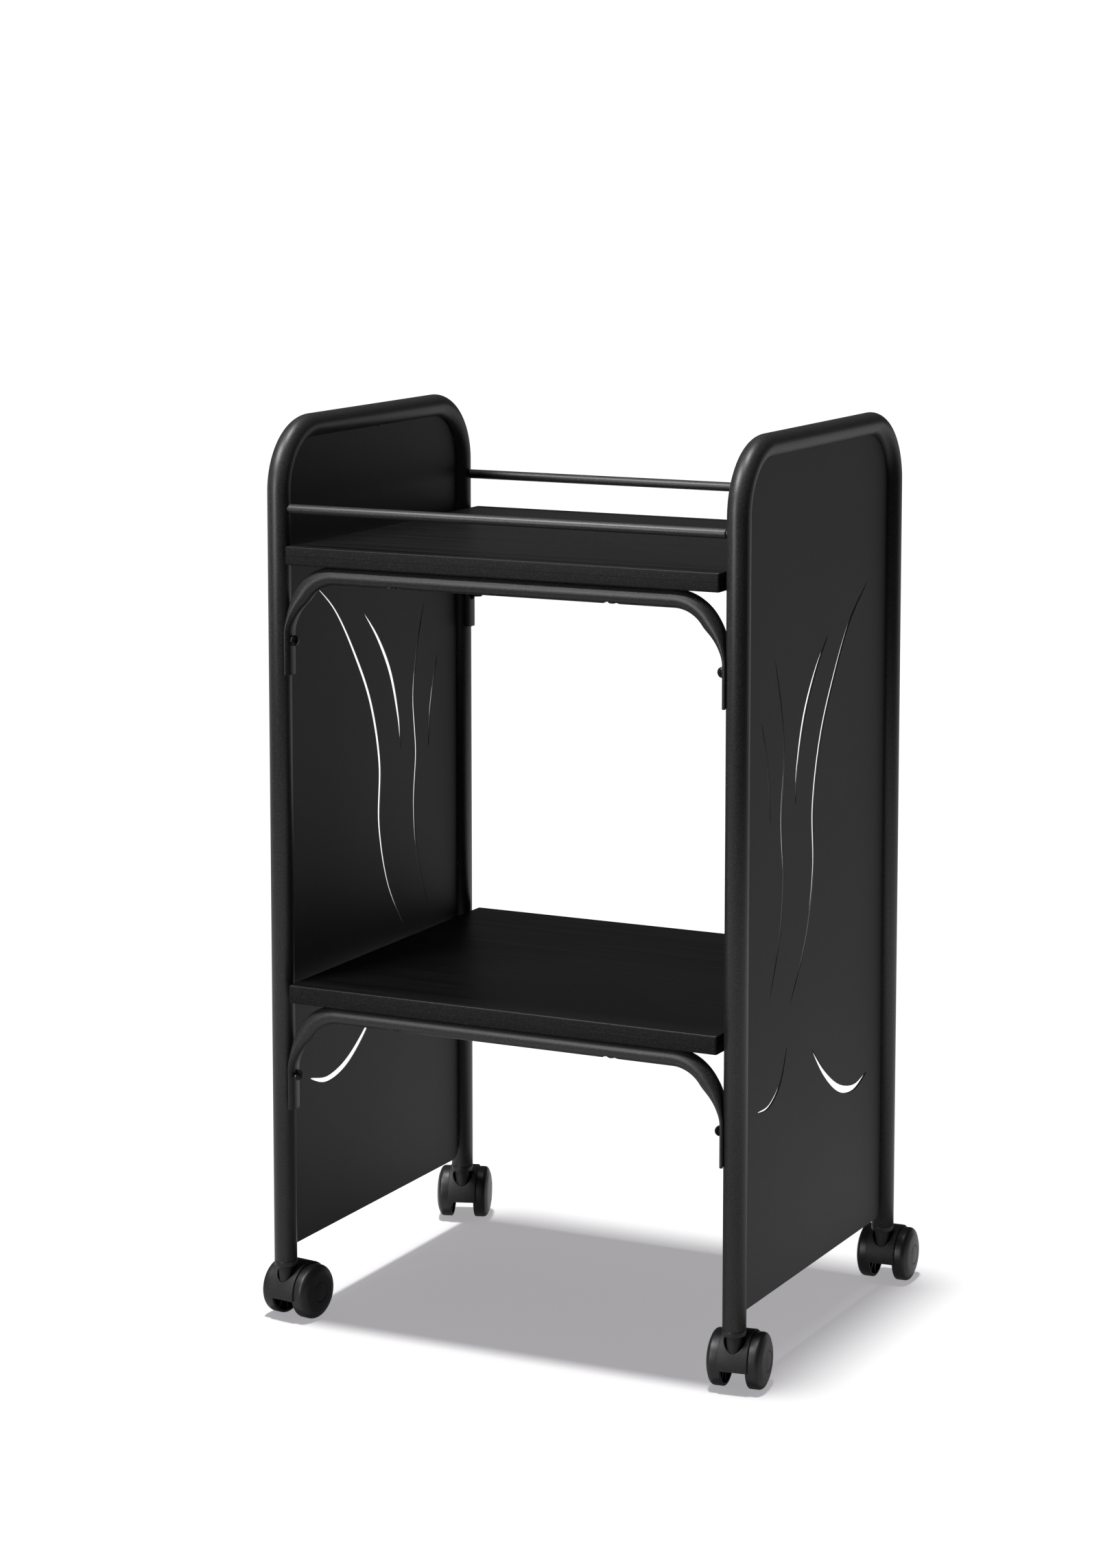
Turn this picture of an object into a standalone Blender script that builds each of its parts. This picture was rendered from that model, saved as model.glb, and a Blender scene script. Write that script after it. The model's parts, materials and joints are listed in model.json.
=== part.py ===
"""Two-shelf food service trolley on four hooded twin-wheel swivel casters.

Metres, +Z up, floor at Z = 0. +X runs along the trolley from the left side frame to the right one,
and -Y is the front. The origin is on the floor, under the middle of the whole trolley. Two bent-tube
side frames, each filled by a cut sheet panel, carry two boards on four U-shaped bracket tubes.
"""

from math import cos, pi, radians, sin

import bmesh
import bpy
from mathutils import Matrix, Vector

MM = 0.001

# Driving dimensions of the frame and the shelves.
POST_SPAN_X = 430 * MM
POST_SPAN_Y = 331 * MM
FRAME_TOP_Z = 785 * MM
FRAME_BEND_R = 54 * MM
TUBE_R = 10 * MM
TUBE_WALL = 1.2 * MM
UPPER_SHELF_BELOW_TOP = 98.5 * MM
LOWER_SHELF_TOP_Z = 304 * MM
SHELF_THICK = 16 * MM
SHELF_END_GAP = 2 * MM
SHELF_FRONT_OVERHANG = 12 * MM
SHELF_EDGE_R = 1.5 * MM
RAIL_ABOVE_SHELF = 31 * MM
RAIL_R = 4.2 * MM
RAIL_SPIGOT_R = 3 * MM
RAIL_END_ROUND = 1.2 * MM

# The sheet panels.
PANEL_THICK = 1.5 * MM
PANEL_LIFT = 9.8 * MM
PANEL_CORNER_R = 10 * MM

# The bracket tubes under the shelves.
BRACKET_R = 8 * MM
BRACKET_BEND_R = 38 * MM
BRACKET_DROP = 96 * MM
SADDLE_THICK = 3 * MM
SADDLE_HALF_ANGLE = radians(44)
SADDLE_LENGTH = 36 * MM
SADDLE_BLEND = 36 * MM
DENT_SLOPE = 4.6 * MM
DENT_DEPTH = 2 * MM

# Screws.
LEG_SCREW_RISE = 29.5 * MM
LEG_SCREW_R = 2 * MM
LEG_HEAD_R = 4.6 * MM
LEG_HEAD_H = 3.2 * MM
SHELF_SCREW_X = 101.7 * MM
SHELF_SCREW_R = 2 * MM
SHELF_SCREW_BITE = 9 * MM
SHELF_HEAD_R = 3.6 * MM
SHELF_HEAD_H = 1.6 * MM

# Casters.
WHEEL_R = 24 * MM
WHEEL_WIDTH = 14.6 * MM
WHEEL_WALL = 2.4 * MM
WHEEL_HUB_R = 5.5 * MM
TRAIL_LESS_THAN_WHEEL_R = 7 * MM
AXLE_R = 3 * MM
HOOD_CLEAR = 0.5 * MM
HOOD_WALL = 1.1 * MM
HOOD_OVERLAP = 2.7 * MM
HOOD_CUT_BELOW_AXLE = 4.5 * MM
NECK_TOP_R = 6.6 * MM
NECK_FOOT_R = 5.6 * MM
NECK_RISE = 25.2 * MM
RECESS_DEPTH = 16.5 * MM
STEM_R = 3.5 * MM
STEM_LENGTH = 50 * MM
STEM_BITE = 14 * MM
COLLAR_H = 4.5 * MM
SOCKET_DEPTH = 32 * MM
CAP_R = 8.6 * MM
CAP_SET = 0.3 * MM

# Turn of each caster about its stem at rest; at zero the wheels trail straight towards the rear.
SWIVEL_AT_REST = {
    "front_left": radians(-8),
    "front_right": radians(7.5),
    "rear_right": radians(3.5),
    "rear_left": radians(20),
}

# Clearances.
GAP = 0.3 * MM
RUN = 0.05 * MM
HOLE_CLEAR = 0.35 * MM
SWIVEL_GAP = 0.5 * MM

# Numbers of sides and steps of the round shapes.
TUBE_SIDES = 12
BORE_SIDES = 10
BEND_STEPS = 6
BLEND_STEPS = 5
SMALL_SIDES = 8
CASTER_STEPS = 18

# Places worked out from the sizes above.
AXLE_Z = WHEEL_R
TRAIL = WHEEL_R - TRAIL_LESS_THAN_WHEEL_R
HOOD_R = WHEEL_R + HOOD_CLEAR + HOOD_WALL
NECK_TOP_Z = AXLE_Z + NECK_RISE
COLLAR_Z = NECK_TOP_Z + SWIVEL_GAP
TUBE_FOOT_Z = COLLAR_Z + COLLAR_H + GAP
WEB_HALF = TUBE_R + SWIVEL_GAP
WHEEL_FACE = WEB_HALF + GAP
SHELF_HALF_X = POST_SPAN_X / 2 - TUBE_R - SHELF_END_GAP
SHELF_HALF_Y = POST_SPAN_Y / 2 + SHELF_FRONT_OVERHANG
REAR_REACH = POST_SPAN_Y / 2 + TRAIL + WHEEL_R
MID_Y = (SHELF_HALF_Y - REAR_REACH) / 2
POST_Y = {"front": MID_Y - POST_SPAN_Y / 2, "rear": MID_Y + POST_SPAN_Y / 2}
SIDE_X = {"left": -POST_SPAN_X / 2, "right": POST_SPAN_X / 2}
SHELF_TOP_Z = {"upper": FRAME_TOP_Z - UPPER_SHELF_BELOW_TOP, "lower": LOWER_SHELF_TOP_Z}
RAIL_Z = SHELF_TOP_Z["upper"] + RAIL_ABOVE_SHELF
PANEL_FOOT_Z = TUBE_FOOT_Z + PANEL_LIFT
PANEL_TOP_Z = FRAME_TOP_Z - TUBE_R - GAP
PANEL_HALF_Y = POST_SPAN_Y / 2 - TUBE_R - GAP
SADDLE_R = TUBE_R + GAP
SADDLE_OUTER_R = SADDLE_R + SADDLE_THICK

# The panel's cut motif: tapered blades of reed. Each blade is its widest width, and a few points as
# shares of the panel's half width, counted from its middle, and of its height, counted from its foot.
REED_BLADES = (
    (
        5.0 * MM,
        (
            (-0.71, 0.82),
            (-0.46, 0.78),
            (-0.24, 0.72),
            (-0.05, 0.65),
            (0.05, 0.57),
            (0.04, 0.49),
            (0.14, 0.41),
            (0.35, 0.34),
        ),
    ),
    (
        5.5 * MM,
        (
            (-0.14, 0.77),
            (0.04, 0.73),
            (0.19, 0.68),
            (0.28, 0.62),
            (0.30, 0.58),
        ),
    ),
    (
        3.4 * MM,
        (
            (0.59, 0.76),
            (0.50, 0.70),
            (0.46, 0.64),
            (0.49, 0.57),
            (0.46, 0.50),
            (0.50, 0.43),
            (0.63, 0.36),
        ),
    ),
    (
        2.8 * MM,
        (
            (0.76, 0.69),
            (0.70, 0.65),
            (0.66, 0.61),
            (0.64, 0.57),
        ),
    ),
    (
        6.5 * MM,
        (
            (0.04, 0.27),
            (-0.15, 0.23),
            (-0.37, 0.20),
            (-0.59, 0.19),
            (-0.78, 0.20),
        ),
    ),
    (
        3.0 * MM,
        (
            (0.39, 0.29),
            (0.48, 0.25),
            (0.63, 0.23),
            (0.79, 0.23),
        ),
    ),
)
REED_STEPS = 3


def clear_scene():
    for obj in list(bpy.data.objects):
        bpy.data.objects.remove(obj, do_unlink=True)


def new_collection(name):
    collection = bpy.data.collections.new(name)
    bpy.context.scene.collection.children.link(collection)
    return collection


def new_material(name, colour, roughness, metallic=0.0):
    material = bpy.data.materials.new(name)
    material.use_nodes = True
    shader = material.node_tree.nodes["Principled BSDF"]
    shader.inputs["Base Color"].default_value = (*colour, 1.0)
    shader.inputs["Roughness"].default_value = roughness
    shader.inputs["Metallic"].default_value = metallic
    material.diffuse_color = (*colour, 1.0)
    return material


clear_scene()
TROLLEY = new_collection("food_service_trolley")
CUTTERS = new_collection("cutters")
CUTTERS.hide_render = True

FRAME_PAINT = new_material("frame_powder_coat", (0.030, 0.030, 0.031), 0.45, 0.1)
PANEL_PAINT = new_material("panel_powder_coat", (0.032, 0.032, 0.033), 0.50, 0.1)
BOARD_BLACK = new_material("black_board", (0.014, 0.014, 0.014), 0.40)
CASTER_BLACK = new_material("caster_nylon", (0.025, 0.025, 0.026), 0.48)
HOOD_BLACK = new_material("hood_grained_nylon", (0.022, 0.022, 0.023), 0.60)
SCREW_BLACK = new_material("blackened_steel", (0.030, 0.030, 0.032), 0.35, 0.9)
BARE_STEEL = new_material("zinc_plated_steel", (0.45, 0.45, 0.46), 0.32, 1.0)


# Shape helpers. Each gives back a closed mesh with its faces pointing out.


def put(name, mesh, material, matrix=None, parent=None):
    """A finished part with this mesh, placed by a matrix relative to its parent."""
    obj = bpy.data.objects.new(name, mesh)
    obj.parent = parent
    if matrix is not None:
        obj.matrix_local = matrix
    mesh.materials.clear()
    mesh.materials.append(material)
    mesh.shade_smooth()
    mesh.set_sharp_from_angle(angle=radians(32))
    TROLLEY.objects.link(obj)
    return obj


def helper(name, data):
    """A scratch object, kept out of the render, that becomes a mesh or cuts one."""
    obj = bpy.data.objects.new(name, data)
    obj.hide_render = True
    if obj.type == "MESH":
        obj.display_type = "WIRE"
    CUTTERS.objects.link(obj)
    return obj


def bake(obj):
    """The evaluated mesh of a scratch object, which is then removed."""
    bpy.context.view_layer.update()
    graph = bpy.context.evaluated_depsgraph_get()
    mesh = bpy.data.meshes.new_from_object(obj.evaluated_get(graph))
    bpy.data.objects.remove(obj, do_unlink=True)
    bm = bmesh.new()
    bm.from_mesh(mesh)
    bmesh.ops.remove_doubles(bm, verts=bm.verts, dist=0.002 * MM)
    bmesh.ops.recalc_face_normals(bm, faces=bm.faces)
    bm.to_mesh(mesh)
    bm.free()
    return mesh


def turned(profile, steps, closed=False):
    """A profile of (radius, height) points turned about Z. Open profiles end on the axis."""
    mesh = bpy.data.meshes.new("profile")
    count = len(profile)
    edges = [(i, (i + 1) % count) for i in range(count if closed else count - 1)]
    mesh.from_pydata([(r, 0.0, z) for r, z in profile], edges, [])
    obj = helper("turned", mesh)
    screw = obj.modifiers.new("Screw", "SCREW")
    screw.steps = screw.render_steps = steps
    screw.use_merge_vertices = True
    screw.merge_threshold = 0.00001
    return bake(obj)


def tube(points, radius, sides):
    """A round bar along a list of points."""
    curve = bpy.data.curves.new("tube", "CURVE")
    curve.dimensions = "3D"
    curve.bevel_depth = radius
    curve.bevel_resolution = (sides - 4) // 2
    curve.use_fill_caps = True
    curve.twist_mode = "Z_UP"
    spline = curve.splines.new("POLY")
    spline.points.add(len(points) - 1)
    for point, place in zip(spline.points, points):
        point.co = (*place, 1.0)
    return bake(helper("tube", curve))


def flat_sheet(outlines, thickness):
    """A flat plate in XY, centred on Z = 0: the first outline is its edge, the others its holes."""
    curve = bpy.data.curves.new("sheet", "CURVE")
    curve.dimensions = "2D"
    curve.fill_mode = "BOTH"
    curve.extrude = thickness / 2
    for outline in outlines:
        spline = curve.splines.new("POLY")
        spline.points.add(len(outline) - 1)
        for point, (x, y) in zip(spline.points, outline):
            point.co = (x, y, 0.0, 1.0)
        spline.use_cyclic_u = True
    return bake(helper("sheet", curve))


def loft(rings):
    """A closed skin over a row of rings that have the same number of points."""
    bm = bmesh.new()
    rows = [[bm.verts.new(point) for point in ring] for ring in rings]
    for low, high in zip(rows, rows[1:]):
        for i in range(len(low)):
            j = (i + 1) % len(low)
            bm.faces.new((low[i], low[j], high[j], high[i]))
    bm.faces.new(rows[0][::-1])
    bm.faces.new(rows[-1])
    bmesh.ops.recalc_face_normals(bm, faces=bm.faces)
    mesh = bpy.data.meshes.new("loft")
    bm.to_mesh(mesh)
    bm.free()
    return mesh


def cylinder(radius, start, end, sides):
    """A bar from one point to another."""
    bm = bmesh.new()
    start, end = Vector(start), Vector(end)
    bmesh.ops.create_cone(
        bm,
        cap_ends=True,
        segments=sides,
        radius1=radius,
        radius2=radius,
        depth=(end - start).length,
    )
    turn = (end - start).to_track_quat("Z", "Y").to_matrix().to_4x4()
    bmesh.ops.transform(bm, matrix=Matrix.Translation((start + end) / 2) @ turn, verts=bm.verts)
    mesh = bpy.data.meshes.new("cylinder")
    bm.to_mesh(mesh)
    bm.free()
    return mesh


def box(low, high):
    bm = bmesh.new()
    bmesh.ops.create_cube(bm, size=1.0)
    low, high = Vector(low), Vector(high)
    for vert in bm.verts:
        vert.co = (low + high) / 2 + Vector(c * s for c, s in zip(vert.co, high - low))
    mesh = bpy.data.meshes.new("box")
    bm.to_mesh(mesh)
    bm.free()
    return mesh


def joined(*meshes):
    """Several closed meshes that don't touch, as one cutter."""
    bm = bmesh.new()
    for mesh in meshes:
        bm.from_mesh(mesh)
    mesh = bpy.data.meshes.new("joined")
    bm.to_mesh(mesh)
    bm.free()
    return mesh


def combined(base, *steps):
    """The base mesh after Boolean steps, each an operation and a mesh."""
    obj = helper("combined", base)
    others = []
    for operation, mesh in steps:
        others.append(helper("operand", mesh))
        modifier = obj.modifiers.new("Boolean", "BOOLEAN")
        modifier.operation = operation
        modifier.solver = "EXACT"
        modifier.object = others[-1]
    mesh = bake(obj)
    for other in others:
        bpy.data.objects.remove(other, do_unlink=True)
    return mesh


def arc(centre, radius, start, end, steps):
    """Points of an arc in a plane, both ends included."""
    angles = [start + (end - start) * i / steps for i in range(steps + 1)]
    return [(centre[0] + radius * cos(a), centre[1] + radius * sin(a)) for a in angles]


# Side frames and their panels.


def frame_path(foot_z):
    """Centreline of a side frame in (Y, Z), from the front foot over the top to the rear foot."""
    front, rear = POST_Y["front"], POST_Y["rear"]
    bend_z = FRAME_TOP_Z - FRAME_BEND_R
    path = [(front, foot_z)]
    path += arc((front + FRAME_BEND_R, bend_z), FRAME_BEND_R, pi, pi / 2, BEND_STEPS)
    path += arc((rear - FRAME_BEND_R, bend_z), FRAME_BEND_R, pi / 2, 0, BEND_STEPS)
    path.append((rear, foot_z))
    return path


def post_holes(side):
    """Cutters for the screw and rail holes in the inner wall of both posts of a side frame."""
    x = SIDE_X[side]
    inward = -x / abs(x)
    far = x + inward * (TUBE_R + GAP)
    cuts = []
    for y in POST_Y.values():
        for top_z in SHELF_TOP_Z.values():
            z = leg_screw_z(top_z)
            cuts.append(cylinder(LEG_SCREW_R + HOLE_CLEAR, (x, y, z), (far, y, z), SMALL_SIDES))
        hole_r = RAIL_SPIGOT_R + HOLE_CLEAR
        cuts.append(cylinder(hole_r, (x, y, RAIL_Z), (far, y, RAIL_Z), SMALL_SIDES))
    return joined(*cuts)


def leg_screw_z(shelf_top_z):
    return shelf_top_z - SHELF_THICK - BRACKET_DROP + LEG_SCREW_RISE


def side_frame(side):
    x = SIDE_X[side]
    outside = [(x, y, z) for y, z in frame_path(TUBE_FOOT_Z)]
    bore = [(x, y, z) for y, z in frame_path(TUBE_FOOT_Z - 2 * MM)]
    mesh = combined(
        tube(outside, TUBE_R, TUBE_SIDES),
        ("DIFFERENCE", tube(bore, TUBE_R - TUBE_WALL, BORE_SIDES)),
        ("DIFFERENCE", post_holes(side)),
    )
    put(f"{side}_side_frame", mesh, FRAME_PAINT)


def smooth_line(points, steps):
    """Points of a curve that runs smoothly through the given ones."""
    ends = [points[0]] + list(points) + [points[-1]]
    line = []
    for a, b, c, d in zip(ends, ends[1:], ends[2:], ends[3:]):
        for i in range(steps):
            t = i / steps
            line.append(
                (
                    2 * b
                    + (c - a) * t
                    + (2 * a - 5 * b + 4 * c - d) * t * t
                    + (3 * b - a - 3 * c + d) * t**3
                )
                / 2
            )
    return line + [points[-1]]


def blade(width, shares):
    """Outline of one reed blade, which tapers to a point at both ends."""
    height = PANEL_TOP_Z - PANEL_FOOT_Z
    points = [Vector((y * PANEL_HALF_Y, PANEL_FOOT_Z + z * height)) for y, z in shares]
    line = smooth_line(points, REED_STEPS)
    left, right = [], []
    for i in range(1, len(line) - 1):
        along = (line[i + 1] - line[i - 1]).normalized()
        half = width / 2 * sin(pi * i / (len(line) - 1)) ** 0.8
        across = Vector((-along.y, along.x)) * half
        left.append(line[i] + across)
        right.append(line[i] - across)
    return [tuple(p) for p in [line[0]] + left + [line[-1]] + right[::-1]]


def panel_outline():
    """Edge of a side panel in (distance from the middle, height above the floor)."""
    half, top, foot = PANEL_HALF_Y, PANEL_TOP_Z, PANEL_FOOT_Z
    bend = FRAME_BEND_R - TUBE_R - GAP
    low = PANEL_CORNER_R
    return (
        arc((half - low, foot + low), low, -pi / 2, 0, 3)
        + arc((half - bend, top - bend), bend, 0, pi / 2, BEND_STEPS)
        + arc((bend - half, top - bend), bend, pi / 2, pi, BEND_STEPS)
        + arc((low - half, foot + low), low, pi, 1.5 * pi, 3)
    )


def side_panels():
    """One cut sheet for both sides: the right one is the left one turned half round."""
    outlines = [panel_outline()] + [blade(width, shares) for width, shares in REED_BLADES]
    upright = Matrix(((0, 0, 1, 0), (1, 0, 0, 0), (0, 1, 0, 0), (0, 0, 0, 1)))
    for side, turn in (("left", 0.0), ("right", pi)):
        mesh = flat_sheet(outlines, PANEL_THICK)
        place = Matrix.Translation((SIDE_X[side], MID_Y, 0)) @ Matrix.Rotation(turn, 4, "Z")
        put(f"{side}_side_panel", mesh, PANEL_PAINT, place @ upright)


# Shelves, brackets, rails and their screws.


def shelf(level):
    top = SHELF_TOP_Z[level]
    low = (-SHELF_HALF_X, MID_Y - SHELF_HALF_Y, top - SHELF_THICK)
    obj = helper("board", box(low, (SHELF_HALF_X, MID_Y + SHELF_HALF_Y, top)))
    bevel = obj.modifiers.new("Bevel", "BEVEL")
    bevel.width = SHELF_EDGE_R
    bevel.segments = 2
    bevel.limit_method = "NONE"
    pilots = []
    for x, y in shelf_screw_places():
        start = (x, y, low[2] - GAP)
        end = (x, y, low[2] + SHELF_SCREW_BITE + GAP)
        pilots.append(cylinder(SHELF_SCREW_R + HOLE_CLEAR, start, end, SMALL_SIDES))
    mesh = combined(bake(obj), ("DIFFERENCE", joined(*pilots)))
    put(f"{level}_shelf", mesh, BOARD_BLACK)


def shelf_screw_places():
    return [(x, y) for x in (-SHELF_SCREW_X, SHELF_SCREW_X) for y in POST_Y.values()]


def saddle_ring(x_post, y, z, inward):
    """Flattened tube end, a crescent that lies against the post."""
    half = TUBE_SIDES // 2
    angles = [SADDLE_HALF_ANGLE * (2 * i / (half - 1) - 1) for i in range(half)]
    outer = [(SADDLE_OUTER_R * cos(a), SADDLE_OUTER_R * sin(a)) for a in angles]
    inner = [(SADDLE_R * cos(a), SADDLE_R * sin(a)) for a in angles[::-1]]
    return [Vector((x_post + inward * u, y + v, z)) for u, v in outer + inner]


def round_ring(centre, away, across):
    """Full tube section, in the same point order as the saddle's: its outer half first."""
    step = 2 * pi / TUBE_SIDES
    angles = [-pi / 2 + step * (i + 0.5) for i in range(TUBE_SIDES)]
    return [centre + BRACKET_R * (cos(a) * away + sin(a) * across) for a in angles]


def leg_ring(y, bend_z, along):
    """Full tube section of a left leg, so far along it from where its bend begins, or below that."""
    turn = max(along, 0) / BRACKET_BEND_R
    out = Vector((-cos(turn), 0, sin(turn)))
    middle_x = SADDLE_R + BRACKET_R + BRACKET_BEND_R - POST_SPAN_X / 2
    middle = Vector((middle_x, y, bend_z + min(along, 0)))
    return round_ring(middle + BRACKET_BEND_R * out, -out, Vector((0, 1, 0)))


def bracket_rings(y, shelf_top_z):
    """Sections of a bracket from its left leg's end, under the shelf, to its right leg's end."""
    under = shelf_top_z - SHELF_THICK
    tube_z = under - GAP - BRACKET_R
    bend_z = tube_z - BRACKET_BEND_R
    end_z = under - BRACKET_DROP
    flat = end_z + SADDLE_LENGTH - bend_z
    bend = pi / 2 * BRACKET_BEND_R
    rounded = flat + SADDLE_BLEND
    x = SIDE_X["left"]
    left = [saddle_ring(x, y, z, 1) for z in (end_z, bend_z + flat)]
    for i in range(1, BLEND_STEPS + 1):
        share = i / BLEND_STEPS
        ease = share * share * (3 - 2 * share)
        leg = leg_ring(y, bend_z, flat + SADDLE_BLEND * share)
        middle_z = sum(point.z for point in leg) / len(leg)
        saddle = saddle_ring(x, y, middle_z, 1)
        left.append([a.lerp(b, ease) for a, b in zip(saddle, leg)])
    for i in range(1, BEND_STEPS + 1):
        left.append(leg_ring(y, bend_z, rounded + (bend - rounded) * i / BEND_STEPS))
    left += dent_rings(y, tube_z)
    mirror = [[Vector((-p.x, p.y, p.z)) for p in ring] for ring in left[::-1]]
    return left + mirror


def dent_rings(y, tube_z):
    """Sections across the dent that a shelf screw's head sits in, on the tube's underside."""
    flat = SHELF_HEAD_R + GAP
    half = [(flat, 1.0), (flat + DENT_SLOPE / 2, 0.5), (flat + DENT_SLOPE, 0.0)]
    rings = []
    for offset, share in [(-x, depth) for x, depth in half[::-1]] + half:
        centre = Vector((-SHELF_SCREW_X + offset, y, tube_z))
        ring = round_ring(centre, Vector((0, 0, -1)), Vector((0, 1, 0)))
        lowest = tube_z - BRACKET_R + DENT_DEPTH * share
        for point in ring:
            point.z = max(point.z, lowest)
        rings.append(ring)
    return rings


def bracket(row, level):
    y = POST_Y[row]
    top = SHELF_TOP_Z[level]
    screw_z = leg_screw_z(top)
    cuts = []
    for x in SIDE_X.values():
        inward = -x / abs(x)
        near = (x + inward * (SADDLE_R - 2 * MM), y, screw_z)
        far = (x + inward * (SADDLE_OUTER_R + 2 * MM), y, screw_z)
        cuts.append(cylinder(LEG_SCREW_R + HOLE_CLEAR, near, far, SMALL_SIDES))
    for x in (-SHELF_SCREW_X, SHELF_SCREW_X):
        under = top - SHELF_THICK
        start = (x, y, under - 2 * BRACKET_R - 2 * MM)
        cuts.append(cylinder(SHELF_SCREW_R + HOLE_CLEAR, start, (x, y, under), SMALL_SIDES))
    mesh = combined(loft(bracket_rings(y, top)), ("DIFFERENCE", joined(*cuts)))
    put(f"{row}_{level}_bracket", mesh, FRAME_PAINT)


def screw_mesh(head_r, head_h, shank_r, shank_length):
    """A pan-head screw along Z, its head's seat at Z = 0 and its shank below."""
    profile = [
        (0, head_h),
        (0.62 * head_r, 0.86 * head_h),
        (head_r, 0.4 * head_h),
        (head_r, 0),
        (shank_r, 0),
        (shank_r, shank_r - shank_length),
        (0, -shank_length),
    ]
    return turned(profile, SMALL_SIDES)


def leg_screws():
    """Screws through the saddles into the posts, heads towards the middle of the trolley."""
    seat = SADDLE_OUTER_R + GAP
    length = seat - TUBE_R + TUBE_WALL + 4 * MM
    for side, x in SIDE_X.items():
        inward = -x / abs(x)
        turn = Matrix.Rotation(inward * pi / 2, 4, "Y")
        for row, y in POST_Y.items():
            for level, top in SHELF_TOP_Z.items():
                mesh = screw_mesh(LEG_HEAD_R, LEG_HEAD_H, LEG_SCREW_R, length)
                place = Matrix.Translation((x + inward * seat, y, leg_screw_z(top)))
                put(f"{row}_{side}_{level}_leg_screw", mesh, SCREW_BLACK, place @ turn)


def shelf_screws():
    """Screws up through the bracket tubes into the boards, heads in the dents below."""
    for level, top in SHELF_TOP_Z.items():
        under = top - SHELF_THICK
        seat_z = under - GAP - 2 * BRACKET_R + DENT_DEPTH - GAP
        length = under - seat_z + SHELF_SCREW_BITE
        for x, y in shelf_screw_places():
            side = "left" if x < 0 else "right"
            row = "front" if y < MID_Y else "rear"
            mesh = screw_mesh(SHELF_HEAD_R, SHELF_HEAD_H, SHELF_SCREW_R, length)
            place = Matrix.Translation((x, y, seat_z)) @ Matrix.Rotation(pi, 4, "X")
            put(f"{row}_{side}_{level}_shelf_screw", mesh, SCREW_BLACK, place)


def guard_rail(row):
    """A round bar between the posts; its spigots sit in holes in their inner walls."""
    end = POST_SPAN_X / 2 - TUBE_R - GAP
    tip = POST_SPAN_X / 2 - TUBE_R + TUBE_WALL + 1.5 * MM
    half = [
        (0, tip),
        (RAIL_SPIGOT_R, tip),
        (RAIL_SPIGOT_R, end),
        (RAIL_R - RAIL_END_ROUND, end),
        (RAIL_R, end - RAIL_END_ROUND),
    ]
    profile = half + [(r, -z) for r, z in half[::-1]]
    place = Matrix.Translation((0, POST_Y[row], RAIL_Z)) @ Matrix.Rotation(pi / 2, 4, "Y")
    put(f"{row}_guard_rail", turned(profile, TUBE_SIDES), FRAME_PAINT, place)


# Casters. Each is made about its own swivel axis: Z up, the axle along X, the wheels trailing to +Y.


def along_x(mesh, centre):
    """Lays a shape turned about Z along X, its zero height at the centre's X."""
    mesh.transform(Matrix.Translation(centre) @ Matrix.Rotation(pi / 2, 4, "Y"))
    return mesh


def running_bore(shaft_r, sides):
    """Corner radius of a many-sided bore whose flats clear a round shaft by the running clearance."""
    return (shaft_r + RUN) / cos(pi / sides)


AXLE_CENTRE = (0, TRAIL, AXLE_Z)


def hood_drum():
    """The hood turned about the axle: a web between the wheels, with a lip over each of them."""
    lip_x = WEB_HALF + HOOD_OVERLAP
    lip_r = WHEEL_R + HOOD_CLEAR
    half = [
        (running_bore(AXLE_R, CASTER_STEPS), WEB_HALF),
        (lip_r, WEB_HALF),
        (lip_r, lip_x),
        (HOOD_R - HOOD_WALL / 2, lip_x),
        (HOOD_R, lip_x - HOOD_WALL / 2),
    ]
    profile = [(r, -z) for r, z in half] + half[::-1]
    return along_x(turned(profile, CASTER_STEPS, closed=True), AXLE_CENTRE)


def housing_mesh():
    """Hood cut flat below, hollowed round the collar, with the neck that the stem turns in."""
    lip_x = WEB_HALF + HOOD_OVERLAP + 1 * MM
    reach = HOOD_R + 2 * MM
    cut_z = AXLE_Z - HOOD_CUT_BELOW_AXLE
    floor_cut = box((-lip_x, TRAIL - reach, -reach), (lip_x, TRAIL + reach, cut_z))
    recess_r = TUBE_R + 2 * SWIVEL_GAP
    top = AXLE_Z + reach
    recess = turned(
        [
            (0, top),
            (recess_r, top),
            (recess_r, NECK_TOP_Z - SWIVEL_GAP),
            (NECK_FOOT_R, NECK_TOP_Z - RECESS_DEPTH),
            (0, NECK_TOP_Z - RECESS_DEPTH),
        ],
        CASTER_STEPS,
    )
    neck = turned(
        [
            (0, NECK_TOP_Z),
            (NECK_TOP_R, NECK_TOP_Z),
            (NECK_FOOT_R, NECK_TOP_Z - RECESS_DEPTH),
            (NECK_FOOT_R, cut_z + 2 * MM),
            (0, cut_z + 2 * MM),
        ],
        CASTER_STEPS - 6,
    )
    bore_r = running_bore(STEM_R, BORE_SIDES)
    bore = cylinder(bore_r, (0, 0, NECK_TOP_Z - STEM_BITE - GAP), (0, 0, top), BORE_SIDES)
    return combined(
        hood_drum(),
        ("DIFFERENCE", floor_cut),
        ("DIFFERENCE", recess),
        ("UNION", neck),
        ("DIFFERENCE", bore),
    )


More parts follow.
